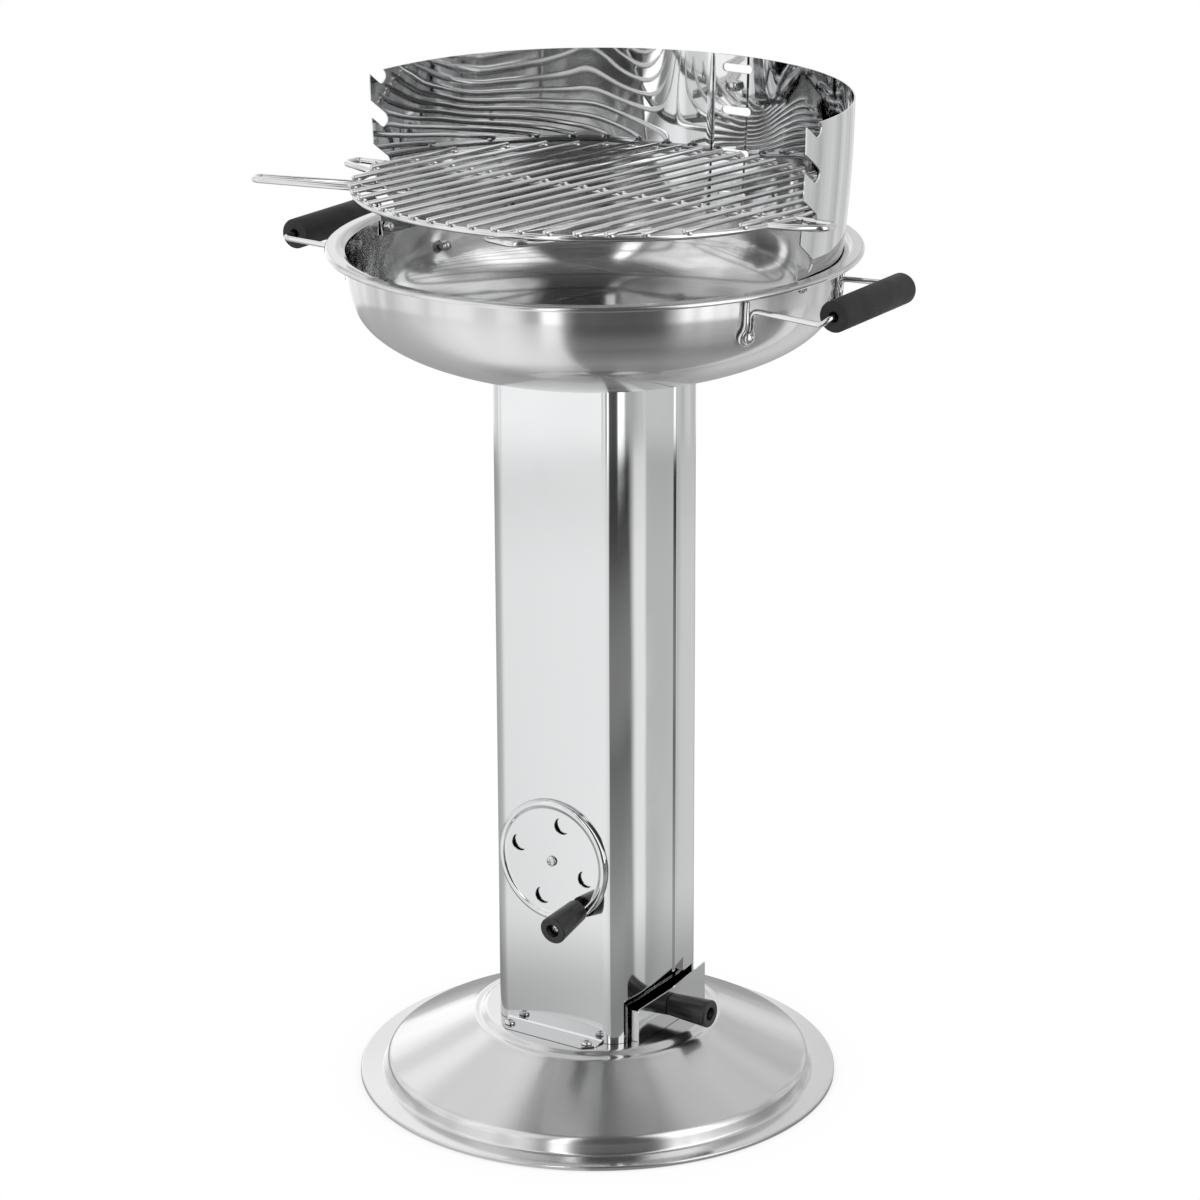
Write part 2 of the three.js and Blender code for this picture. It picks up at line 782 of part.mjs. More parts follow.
function rearSlot(level) {
  const height = windTopHeight - rearSlotTopDrop - rearSlotPitch * level;
  const half = rearSlotHeight / 2;
  const run = rearSlotLength / 2 - half;
  const shape = new THREE.Shape();
  shape.absarc(run, 0, half, -Math.PI / 2, Math.PI / 2, false);
  shape.absarc(-run, 0, half, Math.PI / 2, (3 * Math.PI) / 2, false);
  shape.closePath();
  const depth = overrun * 4;
  const angle = rearSlotAngle * degree;
  const outward = new THREE.Vector3(Math.cos(angle), Math.sin(angle), 0);
  const across = new THREE.Vector3(-Math.sin(angle), Math.cos(angle), 0);
  const matrix = new THREE.Matrix4().makeBasis(across, zAxis, outward);
  matrix.setPosition(outward.clone().multiplyScalar(windRadiusAt(height) - depth / 2).setZ(height));
  return moved(extruded(shape, depth), matrix);
}

function mirrored(solid) {
  return moved(solid, new THREE.Matrix4().makeScale(-1, 1, 1));
}

function makeWindshield() {
  const [low, high] = [windFootHeight - overrun, windTopHeight + overrun];
  const inset = sheet + seatGap;
  let right = windWall(0).intersect(sector(windEndAngle, rightSheetEndAngle, low, high));

  // Past the right half's edge the left half steps in, to lie inside it
  const stepStart = rightSheetEndAngle + lapJoggleAngle;
  const stepMiddle = stepStart + lapJoggleAngle / 2;
  const stepEnd = stepStart + lapJoggleAngle;
  const step = windWall(0, inset + sheet);
  let left = windWall(0).intersect(sector(stepMiddle, 180 - windEndAngle, low, high));
  left = left.add(windWall(inset).intersect(sector(leftSheetEndAngle, stepMiddle, low, high)));
  left = left.add(step.intersect(sector(stepStart, stepEnd, low, high)));

  for (let level = 0; level < notchCount; level += 1) {
    const notch = throughEnd(notchShape(level));
    right = right.subtract(notch);
    left = left.subtract(mirrored(notch));
  }
  for (let level = 0; level < rearSlotCount; level += 1) {
    right = right.subtract(rearSlot(level));
    left = left.subtract(rearSlot(level));
  }
  const lapPlace = polar(windRadiusAt(lapBoltHeight), rearSlotAngle, lapBoltHeight);
  const places = windBoltsInBowl().map(({ angle, height }) => polar(windRadiusAt(height), angle, height));
  for (const place of [...places, lapPlace]) {
    const hole = holeThrough(place, place.clone().setZ(0));
    right = right.subtract(hole);
    left = left.subtract(hole);
  }
  addPart('windshield_right', right, polished);
  addPart('windshield_left', left, polished);
}

function makeWindshieldBolts() {
  for (const { name, angle, height, layers } of windBoltsInBowl()) {
    const outward = polar(1, angle, 0);
    const slope = (windTopRadius - windFootRadius) / (windTopHeight - windFootHeight);
    const outside = bowlRadiusAt(height) + headRadius * slope;
    const inside = windRadiusAt(height) - layers * sheet - (layers - 1) * seatGap - nutRadius * slope;
    boltStack(name, outward.clone().multiplyScalar(outside).setZ(height), outward, outside - inside, true);
  }
  const outward = polar(1, rearSlotAngle, 0);
  const slope = (windTopRadius - windFootRadius) / (windTopHeight - windFootHeight);
  const outside = windRadiusAt(lapBoltHeight) + headRadius * slope;
  const stack = 2 * sheet + seatGap + (headRadius + nutRadius) * slope;
  const head = outward.clone().multiplyScalar(outside).setZ(lapBoltHeight);
  boltStack('windshield_lap', head, outward, stack, true);
}

// Cooking grill, made flat about its own centre, then leant back into its slots.
// Its side ears rest on the slanting lower edges of the third notches.
const notchCentreHeight = windTopHeight - notchTopDrop - notchWidth / 4;
const seatNotchHeight = notchCentreHeight - notchPitch * (notchCount - 2);
const earClimb = (notchInset - earNearInset) * Math.tan(notchSlant * degree);
const earDrop = (notchWidth / 2 - ringWire - seatGap) / Math.cos(notchSlant * degree);
const earHeight = seatNotchHeight + earClimb - earDrop;
const earNearY = windRadiusAt(earHeight) * Math.sin(windEndAngle * degree) + earNearInset;
const seatSlotHeight = windTopHeight - rearSlotTopDrop - rearSlotPitch * (rearSlotCount - 2);
const rearEarHeight = seatSlotHeight - rearSlotHeight / 2 + seatGap + ringWire;
const sheetInsideRear = windRadiusAt(seatSlotHeight) - sheet * 2 - seatGap;
const rearEarY = sheetInsideRear + rearEarThrough - ringWire;
const lean = Math.atan2(rearEarHeight - earHeight, rearEarY - earNearY);

function flat(x, y, drop = 0) {
  return new THREE.Vector3(x, y, -drop);
}

function cookingEars() {
  const ears = [];
  for (const side of [-1, 1]) {
    ears.push([
      flat(side * (grillRadius - ringWire), earNearY),
      flat(side * earReach, earNearY),
      flat(side * earReach, -earFarForward),
      flat(side * (grillRadius - ringWire * 3), -earFootForward),
    ]);
  }
  const slotX = windTopRadius * Math.cos(rearSlotAngle * degree);
  const ringY = grillRadius - grillForward;
  ears.push([
    flat(slotX - rearEarHalfWidth, ringY),
    flat(slotX - rearEarHalfWidth, rearEarY),
    flat(slotX + rearEarHalfWidth, rearEarY),
    flat(slotX + rearEarHalfWidth, ringY),
  ]);
  return ears;
}

function handleLoop() {
  const along = handleTip.clone().sub(handleFootNear).normalize();
  const aside = new THREE.Vector2(-along.y, along.x).multiplyScalar(-handleTipHalfWidth);
  const [one, two] = [handleTip.clone().add(aside), handleTip.clone().sub(aside)];
  return [
    flat(handleFootNear.x, handleFootNear.y, 0),
    flat(one.x, one.y),
    flat(two.x, two.y),
    flat(handleFootFar.x, handleFootFar.y),
  ];
}

function frontLoop() {
  return [
    flat(frontFootLeft.x, frontFootLeft.y),
    flat(frontLoopLeft.x, frontLoopLeft.y, frontLoopDrop),
    flat(frontLoopRight.x, frontLoopRight.y, frontLoopDrop),
    flat(frontFootRight.x, frontFootRight.y),
  ];
}

function makeCookingGrill() {
  const barLift = ringWire + barWire - weldBite;
  let body = shifted(torus(grillRadius, ringWire, 6, roundSides), 0, -grillForward, 0);
  const cross = crossTurn * degree;
  const along = new THREE.Vector3(Math.cos(cross), Math.sin(cross), 0);
  const across = new THREE.Vector3(-along.y, along.x, 0);
  const centre = new THREE.Vector3(0, -grillForward, 0);
  const crossFrom = centre.clone().addScaledVector(along, -grillRadius);
  body = body.add(rod(ringWire, crossFrom, centre.clone().addScaledVector(along, grillRadius), 6));
  for (let i = 0; i < barCount; i += 1) {
    const offset = (i - (barCount - 1) / 2) * barPitch;
    const half = Math.sqrt(grillRadius ** 2 - offset ** 2) + barOverhang;
    const middle = centre.clone().addScaledVector(along, offset).setZ(barLift);
    const from = middle.clone().addScaledVector(across, -half);
    body = body.add(rod(barWire, from, middle.clone().addScaledVector(across, half), 5));
  }
  for (const ear of cookingEars()) body = body.add(wire(ear, ringWire, earBend, 6));
  body = body.add(wire(handleLoop(), ringWire, earBend, 6));
  body = body.add(wire(frontLoop(), ringWire, earBend * 2, 6));
  const mesh = addPart('cooking_grill', body, bright);
  mesh.rotation.x = lean;
  mesh.position.z = earHeight - earNearY * Math.tan(lean);
}

function makeCharcoalGrate() {
  const radius = bowlRadiusAt(grateHeight - grateWire) - sheet * 2 - grateWire - seatGap;
  let body = torus(radius, grateWire, 6, grateSides);
  const lift = grateWire * 2 - weldBite;
  body = body.add(rod(grateWire, flat(0, -radius), flat(0, radius), 6));
  for (let i = 0; i < grateBarCount; i += 1) {
    const offset = (i - (grateBarCount - 1) / 2) * grateBarPitch;
    const half = Math.sqrt(radius ** 2 - offset ** 2) + grateWire / 2;
    body = body.add(rod(grateWire, flat(-half, offset, -lift), flat(half, offset, -lift), 6));
  }
  const mesh = addPart('charcoal_grate', body, brushed);
  mesh.position.z = grateHeight;
}

// Carrying handles: one bent wire with an eyelet at each end, and a loose grip
function makeHandles() {
  for (const side of [-1, 1]) {
    const word = side > 0 ? 'right' : 'left';
    const points = [...handleEnd(side, -1), ...handleEnd(side, 1).reverse()];
    addPart(`${word}_handle_wire`, wire(points, handleWire, handleBend, 8, 3), bright);
    const grip = addPart(`${word}_grip`, gripSolid(), black);
    const centreY = side > 0 ? -rightGripForward : -leftGripForward;
    aim(grip, new THREE.Vector3(side * gripX, centreY - gripLength / 2, gripHeight), yAxis);
    for (const near of [-1, 1]) {
      const place = near < 0 ? 'front' : 'rear';
      const outward = handlePoint(side, near, 0, 1, 0);
      const outside = wireRadiusAt(eyeletHeight + headRadius) + handleWire;
      const inside = bowlRadiusAt(eyeletHeight) - sheet * 3;
      const head = outward.clone().multiplyScalar(outside).setZ(eyeletHeight);
      boltStack(`${word}_handle_${place}`, head, outward, outside - inside, true);
    }
  }
}

function wireRadiusAt(height) {
  return bowlRadiusAt(height) + handleWire + seatGap * 2;
}

function handleEnd(side, near) {
  const spread = Math.atan2(eyeletRadius, bowlWallRadius) / degree;
  const bottom = eyeletHeight - eyeletRadius;
  const eyeletReach = wireRadiusAt(eyeletHeight);
  return [
    handlePoint(side, near, spread, wireRadiusAt(tailTop), tailTop),
    handlePoint(side, near, spread, eyeletReach, bottom),
    handlePoint(side, near, -spread, eyeletReach, bottom),
    handlePoint(side, near, -spread - riseLean, wireRadiusAt(riseTop), riseTop),
    ...hookCorner(side, near),
  ];
}

// Where a leg turns into the grip; the right-hand front leg droops and rises again
function hookCorner(side, near) {
  const drop = side > 0 && near < 0 ? rightHookDrop : leftHookDrop;
  const y = near < 0 ? -hookFrontForward : hookRearBack;
  const corner = new THREE.Vector3(side * gripX, y, gripHeight);
  if (drop === 0) return [corner];
  const low = corner.clone().add(new THREE.Vector3(-side * drop, 0, -drop));
  return [low, corner.setY(y - near * drop)];
}

function gripSolid() {
  const bore = handleWire + gripRunningGap;
  return turned(
    [
      [gripMouthRadius, 0],
      [gripRadius - gripRound, 0],
      [gripRadius, gripRound],
      [gripRadius, gripLength - gripRound],
      [gripRadius - gripRound, gripLength],
      [gripMouthRadius, gripLength],
      [gripMouthRadius, gripLength - gripMouthDepth],
      [bore, gripLength - gripMouthDepth],
      [bore, gripMouthDepth],
      [gripMouthRadius, gripMouthDepth],
    ],
    20,
  );
}

// Vent: a round damper plate on the front face
function ventPlace(radius, angle, standOff = 0) {
  const x = radius * Math.cos(angle * degree);
  const z = ventHeight + radius * Math.sin(angle * degree);
  return new THREE.Vector3(x, -columnHalf - standOff, z);
}

function makeVent() {
  const beadInner = ventRadius - ventBeadWidth;
  const line = [
    [ventRadius, seatGap],
    [ventRadius, ventStandOff],
    [ventRadius - ventBeadWidth / 4, ventStandOff + ventBeadRise],
    [beadInner + ventBeadWidth / 4, ventStandOff + ventBeadRise],
    [beadInner, ventStandOff],
    [0, ventStandOff],
  ];
  let disc = turned(pressedProfile(line, sheet), 32);
  for (let i = 0; i < 4; i += 1) {
    const place = polar(ventHoleCircle, ventHoleTurn + 90 * i, ventStandOff);
    disc = disc.subtract(holeThrough(place, zAxis, ventHoleRadius));
  }
  disc = disc.subtract(holeThrough(new THREE.Vector3(0, 0, ventStandOff)));
  disc = disc.subtract(holeThrough(polar(ventKnobCircle, ventKnobTurn, ventStandOff)));
  const plate = addPart('vent_disc', disc, polished);
  // Local +X stays +X and local +Y becomes up when the disc faces -Y
  plate.rotation.x = Math.PI / 2;
  plate.position.copy(ventPlace(0, 0));

  const out = yAxis.clone().negate();
  boltStack('vent_pivot', ventPlace(0, 0, ventStandOff), out, ventStandOff + sheet);
  const droop = ventKnobDroop * degree;
  const knobOut = new THREE.Vector3(0, -Math.cos(droop), -Math.sin(droop));
  const knobSeat = ventBeadRise + seatGap + knobNeckRadius * Math.sin(droop);
  const knobPoint = ventPlace(ventKnobCircle, ventKnobTurn, ventStandOff).addScaledVector(knobOut, knobSeat);
  addKnob('vent_knob', knobPoint, knobOut, knobSeat + sheet * 2);
}

function addKnob(name, point, direction, screwPast) {
  const recessFloor = knobLength - knobRecessDepth;
  const bore = shankRadius + shankClearance;
  const knob = turned(
    [
      [bore, 0],
      [knobNeckRadius, 0],
      [knobEndRadius, knobLength - knobRound],
      [knobEndRadius - knobRound, knobLength],
      [knobRecessRadius, knobLength],
      [knobRecessRadius, recessFloor],
      [bore, recessFloor],
    ],
    24,
  );
  aim(addPart(name, knob, black), point, direction);
  const screw = addPart(`${name}_screw`, screwSolid(recessFloor + seatGap + screwPast), bright);
  aim(screw, point.clone().addScaledVector(direction, recessFloor + seatGap), direction);
}

function makeDrawer() {
  const frontInner = columnHalf + seatGap + drawerAjar;
  const trayFront = frontInner - seatGap;
  const trayBack = trayFront - drawerTrayLength;
  const bottom = plateauHeight + seatGap;
  const outer = boxBetween([trayBack, -drawerHalfWidth, bottom], [trayFront, drawerHalfWidth, drawerTrayTop]);
  const hollow = boxBetween(
    [trayBack + sheet, -drawerHalfWidth + sheet, bottom + sheet],
    [trayFront - sheet, drawerHalfWidth - sheet, drawerTrayTop + overrun],
  );
  const knobPoint = new THREE.Vector3(frontInner + sheet, 0, drawerKnobHeight);
  const hole = holeThrough(knobPoint, xAxis);
  addPart('ash_drawer_tray', outer.subtract(hollow).subtract(hole), brushed);

  const shape = new THREE.Shape();
  shape.moveTo(-drawerFrontHalfWidth, bottom);
  shape.lineTo(drawerFrontHalfWidth, bottom);
  shape.lineTo(drawerFrontHalfWidth, drawerFrontTop + drawerFrontLift);
  shape.lineTo(0, drawerFrontTop);
  shape.lineTo(-drawerFrontHalfWidth, drawerFrontTop);
  shape.closePath();
  const stand = new THREE.Matrix4().makeBasis(yAxis, zAxis, xAxis).setPosition(frontInner, 0, 0);
  addPart('ash_drawer_front', moved(extruded(shape, sheet), stand).subtract(hole), polished);
  const seat = knobPoint.clone().addScaledVector(xAxis, seatGap);
  addKnob('ash_drawer_knob', seat, xAxis, sheet * 3);
}

makeBase();
makeColumn();
makeFootScrews();
makeBowl();
makeBowlBolts();
makeCharcoalGrate();
makeWindshield();
makeWindshieldBolts();
makeHandles();
makeCookingGrill();
makeVent();
makeDrawer();

export default grill;
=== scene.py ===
import json
from math import atan2, cos, degrees, pi, radians, sin, sqrt, tan

import bmesh
import bpy
import numpy as np
from mathutils import Matrix, Vector
from mathutils.geometry import delaunay_2d_cdt

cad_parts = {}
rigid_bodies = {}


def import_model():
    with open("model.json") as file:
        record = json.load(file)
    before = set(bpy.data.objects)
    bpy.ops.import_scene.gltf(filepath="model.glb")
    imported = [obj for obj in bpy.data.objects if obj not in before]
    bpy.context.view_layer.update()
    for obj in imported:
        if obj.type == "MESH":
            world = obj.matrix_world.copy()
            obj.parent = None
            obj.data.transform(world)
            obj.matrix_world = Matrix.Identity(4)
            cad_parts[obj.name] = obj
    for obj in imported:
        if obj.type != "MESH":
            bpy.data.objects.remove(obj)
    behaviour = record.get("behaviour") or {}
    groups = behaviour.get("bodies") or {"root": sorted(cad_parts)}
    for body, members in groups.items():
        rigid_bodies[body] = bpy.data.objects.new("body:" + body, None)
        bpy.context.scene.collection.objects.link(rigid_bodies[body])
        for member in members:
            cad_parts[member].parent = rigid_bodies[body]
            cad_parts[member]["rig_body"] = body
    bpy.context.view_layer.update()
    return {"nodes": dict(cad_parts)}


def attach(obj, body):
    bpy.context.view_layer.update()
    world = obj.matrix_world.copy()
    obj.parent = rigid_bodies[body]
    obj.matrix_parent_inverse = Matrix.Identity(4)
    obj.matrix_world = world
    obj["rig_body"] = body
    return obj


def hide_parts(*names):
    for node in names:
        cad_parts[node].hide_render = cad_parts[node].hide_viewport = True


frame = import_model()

# Pedestal charcoal barbecue in polished and satin stainless sheet.
# Shapes are worked out in millimetres and put into their meshes in metres.
mm = 0.001
scene = bpy.context.scene
upward = np.array([0.0, 0.0, 1.0])
print("frame loaded:", len(frame["nodes"]), "nodes")


# Shape tools: a shape is (points, faces), points an n by 3 array in mm.
def facingOut(points, faces):
    # six times the volume is the sum of a . (b x c) over the fans of all faces
    corners = np.array([(f[0], f[k], f[k + 1]) for f in faces for k in range(1, len(f) - 1)])
    middle = points.mean(0)
    a, b, c = (points[corners[:, k]] - middle for k in range(3))
    if np.einsum("ij,ij->", a, np.cross(b, c)) < 0:
        faces = [f[::-1] for f in faces]
    return points, faces


def gridFaces(rows, columns, wrapRows=False, wrapColumns=False):
    # each face joins point (i, j) to (i + 1, j), (i + 1, j + 1) and (i, j + 1)
    i = np.arange(rows if wrapRows else rows - 1)[:, None]
    j = np.arange(columns if wrapColumns else columns - 1)[None, :]
    a = i * columns + j
    b = ((i + 1) % rows) * columns + j
    c = ((i + 1) % rows) * columns + (j + 1) % columns
    d = i * columns + (j + 1) % columns
    return np.stack([a, b, c, d], -1).reshape(-1, 4).tolist()


def turned(profile, around):
    # point (i, j) = (r_j cos t_i, r_j sin t_i, z_j), t_i evenly round a full turn
    profile = np.asarray(profile, float)
    turns = np.arange(around) * 2 * pi / around
    r, z = profile[None, :, 0], profile[None, :, 1]
    points = np.stack([r * np.cos(turns)[:, None], r * np.sin(turns)[:, None], z + 0 * turns[:, None]], -1)
    return facingOut(points.reshape(-1, 3), gridFaces(around, len(profile), True, True))


def rounded(line, radii, steps=6):
    # each inner corner of a line gives way to a curve b(t) = (1-t)^2 a + 2t(1-t) corner + t^2 c
    line = [np.asarray(p, float) for p in line]
    out = [line[0]]
    for i in range(1, len(line) - 1):
        reach = radii[i] if hasattr(radii, "__len__") else radii
        if reach <= 0:
            out.append(line[i])
            continue
        back, ahead = line[i - 1] - line[i], line[i + 1] - line[i]
        reach = min(reach, np.linalg.norm(back) / 2.02, np.linalg.norm(ahead) / 2.02)
        a = line[i] + back / np.linalg.norm(back) * reach
        c = line[i] + ahead / np.linalg.norm(ahead) * reach
        for t in np.linspace(0, 1, steps + 1):
            out.append((1 - t) ** 2 * a + 2 * t * (1 - t) * line[i] + t * t * c)
    out.append(line[-1])
    return np.array(out)


def thickened(line, thickness):
    # a closed outline: the line, then the same line moved along its normals by the thickness
    line = np.asarray(line, float)
    ahead = np.gradient(line, axis=0)
    normal = np.stack([-ahead[:, 1], ahead[:, 0]], -1)
    normal /= np.linalg.norm(normal, axis=1)[:, None]
    inner = line + normal * thickness
    inner[:, 0] = np.where(line[:, 0] < 1e-6, 0, np.maximum(inner[:, 0], 0))
    return np.concatenate([line, inner[::-1]])


def tube(path, radius, sides=12, closed=False):
    # ring i = p_i + r (cos t n_i + sin t b_i); n_i is carried along the path without twist
    path = np.asarray(path, float)
    radii = np.full(len(path), float(radius))
    if not closed:
        lead = (path[0] - path[1]) / np.linalg.norm(path[0] - path[1])
        tail = (path[-1] - path[-2]) / np.linalg.norm(path[-1] - path[-2])
        turns = np.radians([82, 60, 32])
        path = np.concatenate([
            path[0] + np.sin(turns)[:, None] * lead * radius / 2, path,
            path[-1] + np.sin(turns[::-1])[:, None] * tail * radius / 2])
        radii = np.concatenate([np.cos(turns) * radius, radii, np.cos(turns[::-1]) * radius])
    if closed:
        along = np.roll(path, -1, 0) - np.roll(path, 1, 0)
    else:
        along = np.gradient(path, axis=0)
    along /= np.linalg.norm(along, axis=1)[:, None]
    normal = np.cross(along[0], upward if abs(along[0][2]) < 0.9 else np.array([1.0, 0, 0]))
    normals = []
    for direction in along:
        normal = normal - direction * normal.dot(direction)
        normal /= np.linalg.norm(normal)
        normals.append(normal)
    normals = np.array(normals)
    across = np.cross(along, normals)
    turns = (np.arange(sides) + 0.5) * 2 * pi / sides
    ring = np.cos(turns)[None, :, None] * normals[:, None] + np.sin(turns)[None, :, None] * across[:, None]
    points = path[:, None] + ring * radii[:, None, None]
    faces = gridFaces(len(path), sides, closed, True)
    if not closed:
        last = (len(path) - 1) * sides
        faces += [list(range(sides)), [last + sides - 1 - k for k in range(sides)]]
    return facingOut(points.reshape(-1, 3), faces)


def ringPath(radius, centre, around):
    turns = np.arange(around) * 2 * pi / around
    ring = np.stack([radius * np.cos(turns), radius * np.sin(turns), 0 * turns], -1)
    return ring + np.asarray(centre, float)


def plate(outline, low, high):
    # a flat outline carried straight up from low to high
    outline = np.asarray(outline, float)
    count = len(outline)
    points = np.concatenate([np.column_stack([outline, np.full(count, z)]) for z in (low, high)])
    faces = gridFaces(2, count, False, True) + [list(range(count)), list(range(2 * count - 1, count - 1, -1))]
    return facingOut(points, faces)


def block(low, high):
    (x0, y0, z0), (x1, y1, z1) = low, high
    return plate([(x0, y0), (x1, y0), (x1, y1), (x0, y1)], z0, z1)


def stretched(section, rail):
    # point (i, j) = rail_i + section_j; a flat section carried along a straight or stepped rail
    section, rail = np.asarray(section, float), np.asarray(rail, float)
    points = (rail[:, None] + section[None]).reshape(-1, 3)
    count, last = len(section), (len(rail) - 1) * len(section)
    ends = [list(range(count)), [last + count - 1 - k for k in range(count)]]
    return facingOut(points, gridFaces(len(rail), count, False, True) + ends)


def joined(shapes):
    points, faces, start = [], [], 0
    for p, f in shapes:
        points.append(p)
        faces += [[start + k for k in face] for face in f]
        start += len(p)
    return np.concatenate(points), faces


def placed(shape, matrix):
    m = np.array(matrix)
    return facingOut(shape[0] @ m[:3, :3].T + m[:3, 3], shape[1])


def standing(origin, direction, roll=0):
    # takes +Z to the direction and the origin to the given place
    turn = Vector((0, 0, 1)).rotation_difference(Vector(direction)).to_matrix().to_4x4()
    return Matrix.Translation(Vector(origin)) @ turn @ Matrix.Rotation(roll, 4, "Z")


def polar(radius, angle, height):
    return np.array([radius * cos(radians(angle)), radius * sin(radians(angle)), height])


def meshOf(name, shape):
    points, faces = shape
    mesh = bpy.data.meshes.new(name)
    mesh.from_pydata((points * mm).tolist(), [], faces)
    work = bmesh.new()
    work.from_mesh(mesh)
    bmesh.ops.remove_doubles(work, verts=work.verts, dist=1e-7)
    bmesh.ops.dissolve_degenerate(work, dist=1e-7, edges=work.edges)
    work.to_mesh(mesh)
    work.free()
    return mesh


def carved(shape, cutters):
    # the shape with the cutters taken away
    body = bpy.data.objects.new("body", meshOf("body", shape))
    tool = bpy.data.objects.new("tool", meshOf("tool", joined(cutters)))
    for thing in (body, tool):
        scene.collection.objects.link(thing)
    cut = body.modifiers.new("cut", "BOOLEAN")
    cut.object, cut.operation, cut.solver = tool, "DIFFERENCE", "EXACT"
    mesh = bpy.data.meshes.new_from_object(body.evaluated_get(bpy.context.evaluated_depsgraph_get()))
    points = np.empty(len(mesh.vertices) * 3)
    mesh.vertices.foreach_get("co", points)
    faces = [list(face.vertices) for face in mesh.polygons]
    for thing in (body, tool):
        bpy.data.objects.remove(thing)
    return points.reshape(-1, 3) / mm, faces


def camel(node):
    first, *rest = node.split("_")
    return first + "".join(word.capitalize() for word in rest)


def makePiece(name, shapes, node, material, sharp=35, evenFlats=False):
    piece = bpy.data.objects.new(name, meshOf(name, joined(shapes)))
    scene.collection.objects.link(piece)
    piece.data.materials.append(material)
    piece.data.shade_smooth()
    piece.data.set_sharp_from_angle(angle=radians(sharp))
    if evenFlats:
        level = piece.modifiers.new("even flats", "WEIGHTED_NORMAL")
        level.keep_sharp = True
    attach(piece, frame["nodes"][node]["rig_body"])
    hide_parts(node)


def makeFitting(node, shapes, stand, material):
    # a small piece that takes its name from its node, stood in its place
    makePiece(camel(node), [placed(shape, stand) for shape in shapes], node, material)


# Materials.
def addNode(tree, kind, settings=None, **inputs):
    made = tree.nodes.new(kind)
    for key, value in (settings or {}).items():
        setattr(made, key, value)
    for key, value in inputs.items():
        socket = made.inputs[int(key[1:])] if key[0] == "i" and key[1:].isdigit() else made.inputs[key]
        if isinstance(value, bpy.types.NodeSocket):
            tree.links.new(value, socket)
        else:
            socket.default_value = value
    return made


def newGroup(name, inputs, outputs):
    group = bpy.data.node_groups.new(name, "ShaderNodeTree")
    for label, kind, value in inputs:
        socket = group.interface.new_socket(label, in_out="INPUT", socket_type="NodeSocket" + kind)
        if value is not None:
            socket.default_value = value
    for label, kind in outputs:
        group.interface.new_socket(label, in_out="OUTPUT", socket_type="NodeSocket" + kind)
    return group, group.nodes.new("NodeGroupInput"), group.nodes.new("NodeGroupOutput")


def useGroup(tree, group, **inputs):
    made = tree.nodes.new("ShaderNodeGroup")
    made.node_tree = group
    for key, value in inputs.items():
        if isinstance(value, bpy.types.NodeSocket):
            tree.links.new(value, made.inputs[key])
        else:
            made.inputs[key].default_value = value
    return made


def math(tree, operation, a, b=0.0):
    return addNode(tree, "ShaderNodeMath", {"operation": operation}, i0=a, i1=b).outputs[0]


def vector(tree, operation, a, b=(0, 0, 0), output="Vector"):
    return addNode(tree, "ShaderNodeVectorMath", {"operation": operation}, i0=a, i1=b).outputs[output]


def partsOf(tree, place):
    return addNode(tree, "ShaderNodeSeparateXYZ", i0=place).outputs


def noiseOf(tree, place, size, detail, **more):
    return addNode(tree, "ShaderNodeTexNoise", Vector=place, Scale=size, Detail=detail, **more).outputs[0]


def bumpOf(tree, height, distance=1.0, **more):
    return addNode(tree, "ShaderNodeBump", Height=height, Strength=1.0, Distance=distance, **more).outputs[0]


def mixed(tree, factor, a, b):
    return addNode(tree, "ShaderNodeMix", {"data_type": "FLOAT"}, i0=factor, i2=a, i3=b).outputs[0]


def smooth(tree, value, low, high, change="SMOOTHSTEP"):
    # 0 below low, 1 above high, with a soft change between them
    return addNode(tree, "ShaderNodeMapRange", {"interpolation_type": change}, Value=value, i1=low,
                   i2=high).outputs[0]


def towards(tree, factor, low, high):
    # low where the factor is 0, high where it is 1
    return addNode(tree, "ShaderNodeMapRange", Value=factor, i3=low, i4=high).outputs[0]


def makeSheetWaves():
    # slow dents and ripples of thin rolled sheet, as a height from 0 to 1
    group, given, out = newGroup("sheetWaves", [
        ("Place", "Vector", None), ("Size", "Float", 8.0), ("Stretch", "Vector", (1, 1, 1))],
        [("Height", "Float")])
    shaped = vector(group, "MULTIPLY", given.outputs["Place"], given.outputs["Stretch"])
    group.links.new(noiseOf(group, shaped, given.outputs["Size"], 1.5, Roughness=0.4), out.inputs["Height"])
    return group


def makeSpunGrain():
    # fine lines that run round the upright axis: noise over (radius, height), almost none round it
    group, given, out = newGroup("spunGrain", [("Place", "Vector", None), ("Fineness", "Float", 900.0)],
                                 [("Lines", "Float"), ("Bands", "Float")])
    x, y, z = partsOf(group, given.outputs["Place"])
    square = math(group, "ADD", math(group, "POWER", x, 2.0), math(group, "POWER", y, 2.0))
    radius = math(group, "SQRT", square)
    turn = math(group, "ARCTAN2", y, x)
    fine = addNode(group, "ShaderNodeCombineXYZ", i0=radius, i1=math(group, "MULTIPLY", turn, 0.004), i2=z)
    wide = addNode(group, "ShaderNodeCombineXYZ", i0=math(group, "MULTIPLY", radius, 0.25), i1=turn,
                   i2=math(group, "MULTIPLY", z, 0.25))
    lines = noiseOf(group, fine.outputs[0], given.outputs["Fineness"], 2.0)
    group.links.new(lines, out.inputs["Lines"])
    group.links.new(noiseOf(group, wide.outputs[0], 3.2, 3.0), out.inputs["Bands"])
    return group


def makeHandling():
    # faint cloudy marks from wiping and handling, 0 clean to 1 marked
    group, given, out = newGroup("handling", [("Place", "Vector", None), ("Size", "Float", 14.0)],
                                 [("Marks", "Float")])
    cloud = noiseOf(group, given.outputs["Place"], given.outputs["Size"], 4.0, Roughness=0.6, Distortion=0.4)
    group.links.new(smooth(group, cloud, 0.42, 0.72), out.inputs["Marks"])
    return group


